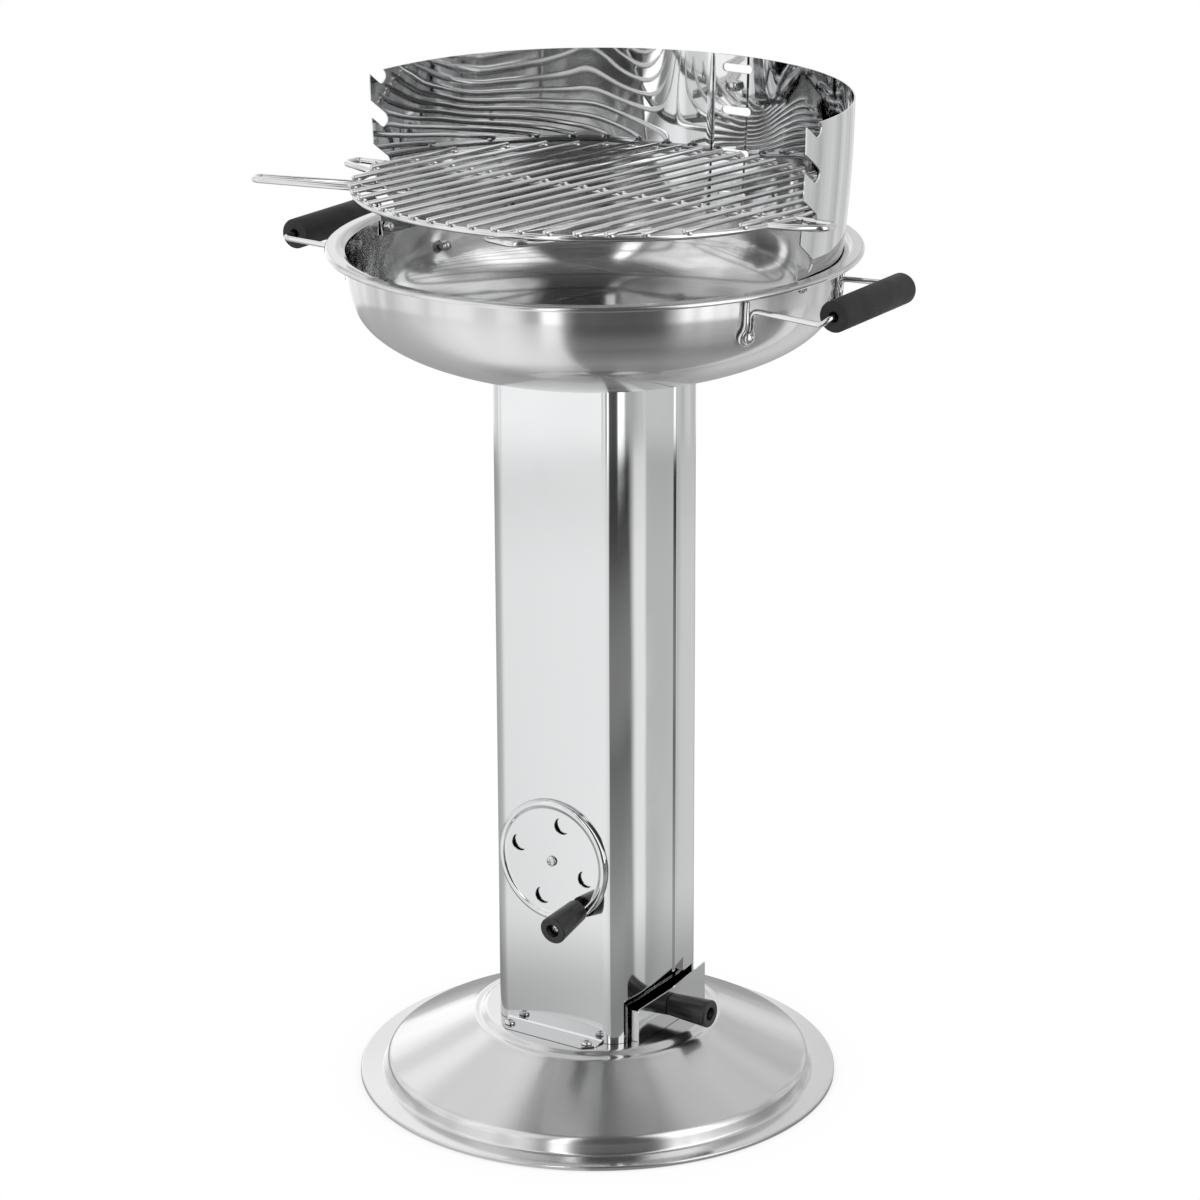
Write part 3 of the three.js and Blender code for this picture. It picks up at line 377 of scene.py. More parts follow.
sheetWaves, spunGrain, handling = makeSheetWaves(), makeSpunGrain(), makeHandling()


def newMaterial(name, color, metallic, roughness):
    material = bpy.data.materials.new(name)
    material.use_nodes = True
    tree = material.node_tree
    shader = tree.nodes["Principled BSDF"]
    shader.inputs["Base Color"].default_value = (*color, 1)
    shader.inputs["Metallic"].default_value = metallic
    shader.inputs["Roughness"].default_value = roughness
    place = tree.nodes.new("ShaderNodeTexCoord").outputs["Object"]
    return material, tree, shader, place


mirrorSheetLook = {"color": (0.66, 0.665, 0.67), "roughness": 0.06, "marked": 0.11, "markSize": 11.0,
                   "waveSize": 9.0, "waveDepth": 0.0009}
shieldSheetLook = {"color": (0.66, 0.665, 0.67), "roughness": 0.025, "marked": 0.06, "markSize": 11.0,
                   "waveSize": 9.0, "waveDepth": 0.0022, "lean": 0.11, "middle": 0.69,
                   "leftFade": (-0.03, -0.11), "rightFade": (0.02, 0.075), "endFade": (0.155, 0.11)}
# flat gives the upward tilt of the true normal over which the satin sheet's colour is darkened as painted
# shade
satinSheetLook = {"inside": 0.6, "fineness": 900.0, "grainDepth": 0.00002, "waveSize": 7.0,
                  "waveDepth": 0.0006, "spread": 0.07, "flat": (0.6, 0.97)}
brightWireLook = {"marked": 0.2, "markSize": 60.0, "grainSize": 500.0, "grainDepth": 0.00002}
plasticLook = {"color": (0.013, 0.013, 0.014), "roughness": 0.3, "marked": 0.42, "markSize": 45.0,
               "grainSize": 900.0, "grainDepth": 0.00002}
gripLook = {"color": (0.016, 0.016, 0.017), "roughness": 0.62, "marked": 0.75, "markSize": 45.0,
            "grainSize": 1400.0, "grainDepth": 0.00006}


def addMarks(tree, shader, place, look, roughness):
    # handling marks that take the roughness from its clean value to its marked one
    marks = useGroup(tree, handling, Place=place, Size=look["markSize"]).outputs["Marks"]
    tree.links.new(towards(tree, marks, roughness, look["marked"]), shader.inputs["Roughness"])


def mirrorSheet(name, look, stretch):
    # waves and, on a face that looks at the upright axis, a slight inward lean where the sheet is sprung into
    # its curve, away from the lap; both as heights in metres
    material, tree, shader, place = newMaterial(name, look["color"], 1.0, look["roughness"])
    addMarks(tree, shader, place, look, look["roughness"])
    waves = useGroup(tree, sheetWaves, Place=place, Size=look["waveSize"], Stretch=stretch)
    height = math(tree, "MULTIPLY", waves.outputs["Height"], look["waveDepth"])
    if "lean" in look:
        facing = tree.nodes.new("ShaderNodeNewGeometry").outputs["True Normal"]
        inside = math(tree, "LESS_THAN", vector(tree, "DOT_PRODUCT", facing, place, "Value"), 0.0)
        aside, _, up = partsOf(tree, place)
        left, right, end = (smooth(tree, aside, *look[fade], "SMOOTHERSTEP")
                            for fade in ("leftFade", "rightFade", "endFade"))
        sprung = math(tree, "ADD", left, math(tree, "MULTIPLY", right, end))
        rise = math(tree, "MULTIPLY", math(tree, "SUBTRACT", up, look["middle"]), look["lean"])
        lean = math(tree, "MULTIPLY", math(tree, "MULTIPLY", rise, sprung), inside)
        height = math(tree, "ADD", height, lean)
    tree.links.new(bumpOf(tree, height), shader.inputs["Normal"])
    return material


def satinSheet(name, color, roughness, anisotropic, shine, shineRoughness, paintedTopShade):
    # turned sheet: satin that spreads light across its fine round grain, under a sharper shine; where it
    # faces up its colour is darkened, which is painted shade
    look = satinSheetLook
    material, tree, shader, place = newMaterial(name, color, 1.0, roughness)
    grain = useGroup(tree, spunGrain, Place=place, Fineness=look["fineness"])
    fine = bumpOf(tree, grain.outputs["Lines"], look["grainDepth"])
    waves = useGroup(tree, sheetWaves, Place=place, Size=look["waveSize"]).outputs["Height"]
    slow = bumpOf(tree, waves, look["waveDepth"])
    both = bumpOf(tree, waves, look["waveDepth"], Normal=fine)
    tangent = addNode(tree, "ShaderNodeTangent", {"direction_type": "RADIAL", "axis": "Z"})
    tree.links.new(tangent.outputs[0], shader.inputs["Tangent"])
    facing = tree.nodes.new("ShaderNodeNewGeometry").outputs["True Normal"]
    # painted shade: the colour is darkened where the true normal points up
    flat = smooth(tree, partsOf(tree, facing)[2], *look["flat"])
    shadedTint = vector(tree, "MULTIPLY", color, towards(tree, flat, 1.0, paintedTopShade))
    level = vector(tree, "MULTIPLY", place, (1, 1, 0))
    inside = math(tree, "LESS_THAN", vector(tree, "DOT_PRODUCT", facing, level, "Value"), 0.001)
    rough = towards(tree, grain.outputs["Bands"], roughness - look["spread"], roughness + look["spread"])
    rough = math(tree, "MULTIPLY", rough, towards(tree, inside, 1.0, look["inside"]))
    for socket, source in (("Base Color", shadedTint), ("Roughness", rough), ("Normal", both),
                           ("Coat Normal", slow)):
        tree.links.new(source, shader.inputs[socket])
    for socket, value in (("Anisotropic", anisotropic), ("Anisotropic Rotation", 0.25), ("Coat Weight", 1.0),
                          ("Coat IOR", shine), ("Coat Roughness", shineRoughness)):
        shader.inputs[socket].default_value = value
    return material


def brightWire(name, color, roughness):
    look = brightWireLook
    material, tree, shader, place = newMaterial(name, color, 1.0, roughness)
    addMarks(tree, shader, place, look, roughness)
    grain = noiseOf(tree, place, look["grainSize"], 2.0)
    tree.links.new(bumpOf(tree, grain, look["grainDepth"]), shader.inputs["Normal"])
    return material


def blackPlastic(name, look):
    material, tree, shader, place = newMaterial(name, look["color"], 0.0, look["roughness"])
    addMarks(tree, shader, place, look, look["roughness"])
    grain = noiseOf(tree, place, look["grainSize"], 3.0)
    tree.links.new(bumpOf(tree, grain, look["grainDepth"]), shader.inputs["Normal"])
    return material


polishedSteel = mirrorSheet("mirrorSheet", mirrorSheetLook, (1, 1, 0.45))
shieldSteel = mirrorSheet("shieldSheet", shieldSheetLook, (1, 1, 0.6))
# the last number of each is the colour share left on faces that look up, a painted shade
footSteel = satinSheet("footSheet", (0.62, 0.62, 0.62), 0.23, 0.85, 2.0, 0.10, 0.95)
bowlSteel = satinSheet("bowlSheet", (0.56, 0.56, 0.56), 0.24, 1.0, 2.7, 0.07, 0.45)
wireSteel = brightWire("brightWire", (0.68, 0.68, 0.685), 0.09)
boltSteel = brightWire("boltSteel", (0.64, 0.64, 0.645), 0.15)
grateSteel = brightWire("grateWire", (0.50, 0.49, 0.48), 0.3)
knobBlack = blackPlastic("knobBlack", plasticLook)
gripBlack = blackPlastic("gripBlack", gripLook)
print("materials made")


# Base: a pressed round foot.
foot = {"radius": 179, "edge": 3.4, "hem": 9, "step": 161, "shoulder": (158.4, 14.8), "coneTop": (97, 45),
        "bead": (9, 2.5), "plateau": (84, 50.5), "sheet": 1.0}


def makeFoot():
    radius, edge = foot["radius"], foot["edge"]
    coneRadius, coneTop = foot["coneTop"]
    beadWidth, beadRise = foot["bead"]
    line = [(radius - foot["hem"], 0), (radius, 0), (radius, edge), (foot["step"], edge), foot["shoulder"],
            (coneRadius, coneTop), (coneRadius - beadWidth / 2, coneTop + beadRise),
            (coneRadius - beadWidth, coneTop + beadRise), foot["plateau"], (0, foot["plateau"][1])]
    radii = [0, 0.8, 1.4, 2.2, 4.0, 4.0, 2.5, 2.5, 4.0, 0]
    profile = thickened(rounded(line, radii, 6), foot["sheet"])
    makePiece("pressedFoot", [turned(profile, 192)], "base_plate", footSteel, sharp=50)


# Column: two folded shells, lapped at the sides.
column = {"half": 57.6, "corner": 16, "bend": 14.5, "leadIn": 24, "leadTurn": 9, "seam": 14, "lap": 9,
          "low": 50.8, "high": 549.2, "sheet": 1.0, "flange": 17, "chamfer": 8, "topFlange": 15, "cove": 1.8,
          "mouthHalf": 45, "mouthTop": 80, "gap": 0.3, "joggle": 4.4}
vent = {"height": 187, "radius": 47, "standOff": 2.5, "beadRise": 1.6, "beadWidth": 6, "holeRadius": 6.5,
        "holeCircle": 30, "holeTurn": -16.5, "knobCircle": 40, "knobTurn": -54, "knobDroop": 8}


def quarterLine():
    # half of a front shell in plan, from the middle of the right side to the middle of the front; the side
    # turns in slowly over the lead-in before the tight bend, so normals run 0, -9 and then on to -90 degrees
    half, bend, lead = column["half"], column["bend"], column["leadIn"]
    turns = np.radians(np.linspace(0, column["leadTurn"], 13))
    slow = lead / turns[-1]
    lows = np.stack([-slow * (1 - np.cos(turns)), -slow * np.sin(turns)], -1)
    tight = np.radians(np.linspace(column["leadTurn"], 90, 15))
    arc = bend * np.stack([np.cos(tight), -np.sin(tight)], -1)
    arc = arc - arc[0] + lows[-1]
    line = np.concatenate([lows, arc[1:]])
    line = line + (half, -half - line[-1, 1])
    return line, np.concatenate([turns, tight[1:]])


def shellWall(inset, seam, lapped):
    # the plan line of a front shell, from the right seam round the front to the left seam
    half, sheet, gap = column["half"], column["sheet"], column["gap"]
    line, turns = quarterLine()
    line = line - inset * np.stack([np.cos(turns), -np.sin(turns)], -1)
    start = [(half - inset, seam)]
    if lapped:                                   # it steps in under the other shell: 3t^2 - 2t^3
        t = np.linspace(0, 1, 9)
        ease = (3 * t * t - 2 * t ** 3) * (sheet + gap)
        step = np.stack([half - inset - ease[::-1], seam - column["joggle"] * t], -1)
        start = [(half - inset - sheet - gap, seam + column["lap"])] + step.tolist()
    side = np.concatenate([start, line])
    return np.concatenate([side, side[::-1] * (-1, 1)])


def shellShape(seam, lapped=False):
    outer, inner = shellWall(0, seam, lapped), shellWall(column["sheet"], seam, lapped)
    count = len(outer)
    low, high = column["low"], column["high"]
    ring = [np.column_stack([line, np.full(count, z)])
            for line, z in ((outer, low), (inner, low), (inner, high), (outer, high))]
    points = np.stack(ring, 1).reshape(-1, 3)
    last = (count - 1) * 4
    faces = gridFaces(count, 4, False, True) + [[0, 1, 2, 3], [last + 3, last + 2, last + 1, last]]
    return facingOut(points, faces)


def flangeShapes():
    # the turned-out foot flange with cut corners, and the hollow bend that joins it to the face
    half, sheet, face = column["half"] - column["corner"], column["sheet"], -column["half"]
    inner, outer, cut = face + sheet, face - column["flange"], column["chamfer"]
    outline = rounded([(0, inner), (-half, inner), (-half, outer + cut), (-half + cut, outer),
                       (half - cut, outer), (half, outer + cut), (half, inner), (0.1, inner)],
                      [0, 0, 1.5, 1.5, 1.5, 1.5, 0, 0], 4)
    bend, top = column["cove"], column["low"] + sheet
    flange = plate(outline, column["low"], top)
    turns = np.radians(np.linspace(0, 90, 7))
    arc = np.stack([0 * turns, face - bend + bend * np.sin(turns), top + bend - bend * np.cos(turns)], -1)
    arc[:, 1] = np.minimum(arc[:, 1], face)
    corners = [(0, face + 0.5, top + bend), (0, face + 0.5, top - 0.5), (0, face - bend, top - 0.5)]
    cove = stretched(np.concatenate([arc, corners]), [(-half, 0, 0), (half, 0, 0)])
    high = column["high"]
    rail = block((-half, face + 0.2, high - sheet), (half, face + column["topFlange"], high))
    return [flange, cove, rail]


def ventPoint(radius, angle, standOff=0):
    return np.array([radius * cos(radians(angle)), -column["half"] - standOff,
                     vent["height"] + radius * sin(radians(angle))])


def drill(radius, centre, direction, reach=6, sides=40):
    centre, direction = np.asarray(centre, float), np.asarray(direction, float)
    turns = np.arange(sides) * 2 * pi / sides
    outline = np.stack([radius * np.cos(turns), radius * np.sin(turns)], -1)
    return placed(plate(outline, -reach, reach), standing(centre, direction))


def makeColumn():
    mouth = block((column["half"] - column["corner"], -column["mouthHalf"], column["low"] - 5),
                  (column["half"] + 5, column["mouthHalf"], column["mouthTop"]))
    holes = [drill(vent["holeRadius"], ventPoint(vent["holeCircle"], angle), (0, 1, 0))
             for angle in vent["holeTurn"] + 45 + 90 * np.arange(4)]
    turn = Matrix.Rotation(pi, 4, "Z")
    front = [carved(shellShape(column["seam"]), [mouth] + holes)] + flangeShapes()
    rear = [carved(placed(shellShape(-column["seam"] - column["gap"], True), turn), [mouth])]
    rear += [placed(shape, turn) for shape in flangeShapes()]
    for name, shapes, node in (("columnFront", front, "column_front_shell"),
                               ("columnRear", rear, "column_rear_shell")):
        makePiece(name, shapes, node, polishedSteel, sharp=30, evenFlats=True)


# Bowl.
bowl = {"rim": 190, "rimTop": 637, "rimDrop": 2.1, "mouth": 180.3, "mouthRound": 2.4, "wall": 177.3,
        "depth": 99.5, "taper": 8.3, "power": 4.2, "squareness": 0.862, "floor": 76, "sheet": 1.0,
        "ashHole": 12, "ringHole": 8, "ringRadius": 32, "ringCount": 6}


def bowlRadius(z):
    # r(s) = wall (1 - s^power)^squareness - taper s^1.5, with s the depth share below the rim
    s = np.maximum((bowl["rimTop"] - z) / bowl["depth"], 0)
    return bowl["wall"] * (1 - s ** bowl["power"]) ** bowl["squareness"] - bowl["taper"] * s ** 1.5


bowlFloor = column["high"] + column["gap"]


def makeBowl():
    # the profile runs from the rolled rim down the wall and in to the middle of the floor, in even rings
    top, floor = bowl["rimTop"], bowl["floor"]
    heights = np.linspace(top - bowl["mouthRound"], bowlFloor + 0.05, 44)
    heights = heights[bowlRadius(np.maximum(heights, top - bowl["depth"] + 0.01)) > floor + 4]
    wall = [(bowlRadius(z), z) for z in heights]
    rim, drop = bowl["rim"], bowl["rimDrop"]
    rolled = rounded([(rim - 0.4, top - drop), (rim, top - drop / 2), (rim - 1.0, top),
                      (bowl["mouth"] + 1.2, top), wall[0]], [0, 0.7, 1.0, 3.0, 0], 6)
    corner = rounded([wall[-1], (floor, bowlFloor), (floor - 9, bowlFloor)], [0, 5, 0], 6)
    flat = [(radius, bowlFloor) for radius in (floor - 14, floor - 24, 44, 0)]
    profile = thickened(np.concatenate([rolled, wall[1:], corner[1:], flat]), -bowl["sheet"])
    holes = [drill(bowl["ashHole"], (0, 0, bowlFloor), (0, 0, 1), 4)]
    for k in range(bowl["ringCount"]):
        place = polar(bowl["ringRadius"], 360 * k / bowl["ringCount"], bowlFloor)
        holes.append(drill(bowl["ringHole"], place, (0, 0, 1), 4))
    makePiece("spunBowl", [carved(turned(profile, 192), holes)], "bowl", bowlSteel, sharp=40,
              evenFlats=True)


# Windshield: two half rings with notched ends.
shield = {"topRadius": 182.8, "footRadius": 174.5, "top": 743, "foot": 624, "reference": 180.0, "end": -5.4,
          "rightFar": 92.5, "leftFar": 84.4, "joggle": 0.8, "notches": 4, "pitch": 31.5, "notchHalf": 5.25,
          "notchInset": 14.5, "notchTop": 738.575, "notchReach": 40, "slant": 35, "slotAngle": 87.3,
          "slots": 4, "slotLength": 25, "slotHeight": 6.2, "slotTop": 733.6, "slotPitch": 31.4,
          "sheet": 1.0, "ripple": 0.22, "kinks": (10.5, 22.0), "flat": 1.0}


def shieldRadius(z):
    # the sheet flares at its foot and stands nearly upright at its top: share = 1 - (1 - s)^1.7
    share = np.clip((z - shield["foot"]) / (shield["top"] - shield["foot"]), 0, 1)
    share = 1 - (1 - share) ** 1.7
    return shield["footRadius"] + (shield["topRadius"] - shield["footRadius"]) * share


def notchLine(level):
    # a slot with a round inner end that slants up and out, x measured inward from the end of the sheet
    slant = radians(shield["slant"])
    centre = np.array([shield["notchInset"], shield["notchTop"] - shield["pitch"] * level])
    out = np.array([-cos(slant), sin(slant)])
    up = np.array([out[1], -out[0]]) * shield["notchHalf"]
    start = atan2(-out[0], out[1])
    turns = start - np.linspace(0, pi, 13)
    arc = centre + shield["notchHalf"] * np.stack([np.cos(turns), np.sin(turns)], -1)
    reach = shield["notchReach"]
    return np.concatenate([arc, [centre - up + out * reach, centre + up + out * reach]])


def slotLine(x, level):
    half = shield["slotHeight"] / 2
    run = shield["slotLength"] / 2 - half
    z = shield["slotTop"] - shield["slotPitch"] * level
    right = np.radians(np.linspace(-90, 90, 9))
    arc = np.stack([half * np.cos(right), half * np.sin(right)], -1)
    return np.concatenate([arc + (x + run, z), arc * (-1, -1) + (x - run, z)])


def insideLine(points, line):
    # even-odd test: how many edges of the line lie to the right of each point
    x, y = points[:, :1], points[:, 1:]
    ax, ay = line[:, 0][None], line[:, 1][None]
    bx, by = np.roll(line[:, 0], -1)[None], np.roll(line[:, 1], -1)[None]
    crosses = (ay > y) != (by > y)
    at = ax + (y - ay) / np.where(by == ay, 1e-9, by - ay) * (bx - ax)
    return (crosses & (at > x)).sum(1) % 2 == 1


def lapStep():
    # where the left half starts and ends its step in under the right one, round the sheet from its own end
    return [radians(180 - (shield["rightFar"] + k * shield["joggle"]) - shield["end"]) * shield["reference"]
            for k in (2, 1)]


def shieldPlan(side):
    # the sheet laid flat, with its notches and slots cut out: x runs round it from its notched end, in mm at
    # the reference radius, and z is height
    reference = shield["reference"]
    span = shield["rightFar"] - shield["end"] if side > 0 else 180 - shield["end"] - shield["leftFar"]
    width = radians(span) * reference
    low, high = shield["foot"], shield["top"]
    slotAngle = shield["slotAngle"] if side > 0 else 180 - shield["slotAngle"]
    slotX = radians(slotAngle - shield["end"]) * reference
    xs = np.linspace(0, width, 84)
    if side < 0:
        start, end = lapStep()
        xs = np.unique(np.concatenate([xs[(xs < start - 1) | (xs > end + 1)], np.linspace(start, end, 5)]))
    zs = np.linspace(low, high, 17)
    grid = np.stack(np.meshgrid(xs, zs, indexing="ij"), -1).reshape(-1, 2)
    holes = [notchLine(level) for level in range(shield["notches"])]
    holes += [slotLine(slotX, level) for level in range(shield["slots"])]
    frameLine = np.array([(0, low), (width, low), (width, high), (0, high)])
    places, edges = [frameLine], [[k, (k + 1) % 4] for k in range(4)]
    start = 4
    for hole in holes:
        places.append(hole)
        edges += [[start + k, start + (k + 1) % len(hole)] for k in range(len(hole))]
        start += len(hole)
    places.append(grid)
    for k in range(len(xs)):                    # upright lines keep the facets in step with the curve
        first = start + k * len(zs)
        edges += [[first + n, first + n + 1] for n in range(len(zs) - 1)]
    places = np.concatenate(places)
    found = delaunay_2d_cdt([Vector(p) for p in places], edges, [], 0, 1e-5)
    flat = np.array([list(v) for v in found[0]])
    faces = np.array([list(f) for f in found[2]])
    middles = flat[faces].mean(1)
    keep = insideLine(middles, frameLine)
    for hole in holes:
        keep &= ~insideLine(middles, hole)
    faces = faces[keep]
    used, faces = np.unique(faces, return_inverse=True)
    return flat[used], faces.reshape(-1, 3)


def shieldInset(side, x, z, angle):
    # how far the sheet stands in from the plain round: the step of the left half, the flatter stretch between
    # the kink and the end, and slow ripples that fade out towards the foot
    inset = 0 * x
    if side < 0:
        start, end = lapStep()
        share = np.clip((x - start) / (end - start), 0, 1)
        inset = (shield["sheet"] + column["gap"]) * share * share * (3 - 2 * share)
    kink = shield["kinks"][0 if side > 0 else 1]
    along = np.clip((kink - angle) / (kink - shield["end"]), 0, 1)     # 0 at the kink, 1 at the end
    inset = inset + shield["flat"] * 4 * along * (1 - along) * 0.6
    ripple = np.sin(x / 23 + 1.3 * side) * np.cos(z / 41 + x / 60) + 0.6 * np.sin(x / 51 + z / 33 + 2 * side)
    return inset + shield["ripple"] * (1 + ripple / 1.6) * np.clip((z - 645) / 60, 0, 1)


def shieldHalf(side):
    # side +1 is the right half, outside at the lap; -1 the left half, which steps inside it
    flat, faces = shieldPlan(side)
    count = len(flat)
    x, z = flat[:, 0], flat[:, 1]
    angle = shield["end"] + np.degrees(x / shield["reference"])
    inset = shieldInset(side, x, z, angle)
    layers = []
    for depth in (0, shield["sheet"]):
        radius = shieldRadius(z) - inset - depth
        turn = np.radians(angle)
        layers.append(np.stack([side * radius * np.cos(turn), radius * np.sin(turn), z], -1))
    points = np.concatenate(layers)
    pairs = np.concatenate([faces[:, [0, 1]], faces[:, [1, 2]], faces[:, [2, 0]]])
    known = set(map(tuple, pairs.tolist()))
    rim = [(a, b) for a, b in known if (b, a) not in known]
    walls = [[b, a, a + count, b + count] for a, b in rim]
    return facingOut(points, faces.tolist() + (faces[:, ::-1] + count).tolist() + walls)


def makeWindshield():
    for side, word in ((1, "right"), (-1, "left")):
        makePiece(word + "Windshield", [shieldHalf(side)], "windshield_" + word,
                  shieldSteel, sharp=40)


# Cooking grill, made flat and leant back into the notches.
grill = {"ring": 2.3, "bar": 1.8, "bite": 0.5, "radius": 167.5, "centreY": -4, "bars": 20, "pitch": 17,
         "overhang": 3, "turn": -4.2, "earReach": 200, "earFarY": -24, "earFootY": -40, "bend": 5,
         "tip": (-217, -108), "tipHalf": 5.5, "nearFoot": (-128, -76), "farFoot": (-92, -84),
         "loop": ((60, -86, 0), (17, -165, -5), (47, -172, -5), (107, -96, 0)), "rearEar": 9, "earInset": 9.5,
         "weld": (2.6, 1.1, 1.5), "weldAside": 1.9, "weldTurn": 0.7}


def weldSpot(centre, along):
    # a low oval bead of weld metal
    turns = np.radians(np.linspace(-90, 90, 7))
    profile = np.stack([np.cos(turns), np.sin(turns)], -1)
    points, faces = turned(profile, 8)
    return placed((points * grill["weld"], faces), standing(centre, (0, 0, 1), atan2(along[1], along[0])))


def weldPair(centre, along, across):
    # two beads that meet in a V beside the bar
    aside, turn = across * grill["weldAside"], across * grill["weldTurn"]
    return [weldSpot(centre + aside * way, along + turn * way) for way in (-1, 1)]


def grillMesh():
    # the ring, its cross bar, and the bars that lie on both and are welded at both ends and in the middle
    ring, bar, radius = grill["ring"], grill["bar"], grill["radius"]
    lift = ring + bar - grill["bite"]
    centre = np.array([0, grill["centreY"], 0])
    turn = radians(grill["turn"])
    along, across = np.array([cos(turn), sin(turn), 0]), np.array([-sin(turn), cos(turn), 0])
    shapes = [tube(ringPath(radius, centre, 160), ring, 12, True)]
    shapes.append(tube([centre - along * radius, centre + along * radius], ring, 12))
    for k in range(grill["bars"]):
        offset = (k - (grill["bars"] - 1) / 2) * grill["pitch"]
        half = sqrt(radius ** 2 - offset ** 2) + grill["overhang"]
        middle = centre + along * offset + np.array([0, 0, lift])
        shapes.append(tube([middle - across * half, middle + across * half], bar, 10))
        weld = half - grill["overhang"]
        for end in (-1, 0, 1):
            spot = middle + across * weld * end
            spot[2] = ring * 0.8
            shapes += weldPair(spot, across, along)
    return shapes


def grillSeat():
    # height and y of the front ears in the notches, y of the rear ear in its slot, and the lean between them
    ring = grill["ring"]
    seat = shield["notchTop"] - shield["pitch"] * (shield["notches"] - 2)
    slant = radians(shield["slant"])
    earHeight = seat + (shield["notchInset"] - grill["earInset"]) * tan(slant) \
        - (shield["notchHalf"] - ring - column["gap"]) / cos(slant)
    nearY = shieldRadius(earHeight) * sin(radians(shield["end"])) + grill["earInset"]
    slotHeight = shield["slotTop"] - shield["slotPitch"] * (shield["slots"] - 2)
    rearHeight = slotHeight - shield["slotHeight"] / 2 + column["gap"] + ring
    rearY = shieldRadius(slotHeight) - 2 * shield["sheet"] - column["gap"] + 1.6 - ring
    return earHeight, nearY, rearY, atan2(rearHeight - earHeight, rearY - nearY)


def makeCookingGrill():
    ring, radius = grill["ring"], grill["radius"]
    earHeight, nearY, rearY, lean = grillSeat()
    shapes = grillMesh()
    for side in (-1, 1):
        reach = side * grill["earReach"]
        ear = [(side * (radius - ring), nearY, 0), (reach, nearY, 0), (reach, grill["earFarY"], 0),
               (side * (radius - ring * 3), grill["earFootY"], 0)]
        shapes.append(tube(rounded(ear, grill["bend"], 8), ring, 12))
    slotX = shield["topRadius"] * cos(radians(shield["slotAngle"]))
    ringY = radius + grill["centreY"]
    ear = [(slotX - grill["rearEar"], ringY, 0), (slotX - grill["rearEar"], rearY, 0),
           (slotX + grill["rearEar"], rearY, 0), (slotX + grill["rearEar"], ringY, 0)]
    shapes.append(tube(rounded(ear, grill["bend"], 8), ring, 12))
    tip, near = np.array([*grill["tip"], 0.0]), np.array([*grill["nearFoot"], 0.0])
    direction = (tip - near) / np.linalg.norm(tip - near)
    aside = np.array([direction[1], -direction[0], 0]) * grill["tipHalf"]
    handleLine = rounded([near, tip + aside, tip - aside, (*grill["farFoot"], 0)], grill["bend"], 8)
    shapes += [tube(handleLine, ring, 12), tube(rounded(grill["loop"], grill["bend"] * 2, 8), ring, 12)]
    stand = Matrix.Translation((0, 0, earHeight - nearY * tan(lean))) @ Matrix.Rotation(lean, 4, "X")
    makeFitting("cooking_grill", shapes, stand, wireSteel)


# Charcoal grate.
grate = {"height": 558, "wire": 2.5, "pitch": 22, "bars": 7}


def makeGrate():
    wire = grate["wire"]
    radius = bowlRadius(grate["height"] - wire) - 2 * bowl["sheet"] - wire - column["gap"]
    lift = wire * 2 - grill["bite"]
    high = np.array([0, 0, grate["height"]])
    shapes = [tube(ringPath(radius, high, 96), wire, 12, True),
              tube([high + (0, -radius, 0), high + (0, radius, 0)], wire, 12)]
    for k in range(grate["bars"]):
        offset = (k - (grate["bars"] - 1) / 2) * grate["pitch"]
        half = sqrt(radius ** 2 - offset ** 2) + wire / 2
        shapes.append(tube([high + (-half, offset, lift), high + (half, offset, lift)], wire, 12))
    makePiece("charcoalGrate", shapes, "charcoal_grate", grateSteel)


# Carrying handles: a bent wire with a loop at each end, and a loose grip.
handle = {"wire": 2.0, "front": 21.8, "rear": 16.2, "eyelet": 605.5, "eyeletRadius": 5.0, "neck": 613.5,
          "tailAside": 1.5, "riseAside": 3.0, "tail": 630.5, "rise": 624, "hookFront": -65, "hookRear": 49,
          "gripX": 226.6, "gripZ": 626, "rightDrop": 4.5, "bend": 7, "gripLength": 96, "gripRadius": 11,
          "rightMiddle": -9, "leftMiddle": -4, "bore": 2.5, "mouth": 3.6, "mouthDepth": 6, "round": 1.5,
          "clear": 0.6}


def handlePlace(side, near, offset, radius, height):
    angle = near * ((handle["front"] if near < 0 else handle["rear"]) + offset)
    return polar(radius, angle if side > 0 else 180 - angle, height)


def wireRadius(z):
    return bowlRadius(z) + handle["wire"] + handle["clear"]


def handleEnd(side, near):
    # down from the rim, once round the bolt and up again beside it; the loop is aside = r sin t and
    # height = eyelet + r cos t
    turns = np.radians(np.arange(32, 329, 37))
    ring = np.stack([np.sin(turns), np.cos(turns)], -1) * handle["eyeletRadius"] + (0, handle["eyelet"])
    tail, rise = handle["tailAside"], -handle["riseAside"]
    line = [(tail, handle["tail"]), (tail, handle["neck"])] + ring.tolist()
    line += [(rise, handle["neck"]), (rise, handle["rise"])]
    points = [handlePlace(side, near, degrees(atan2(aside, bowl["wall"])), wireRadius(z), z)
              for aside, z in line]
    drop = handle["rightDrop"] if side > 0 and near < 0 else 0
    hook = handle["hookFront"] if near < 0 else handle["hookRear"]
    corner = np.array([side * handle["gripX"], hook, handle["gripZ"]])
    if drop:
        points.append(corner + (-side * drop, 0, -drop))
        corner = corner + (0, -near * drop, 0)
    points.append(corner)
    return points


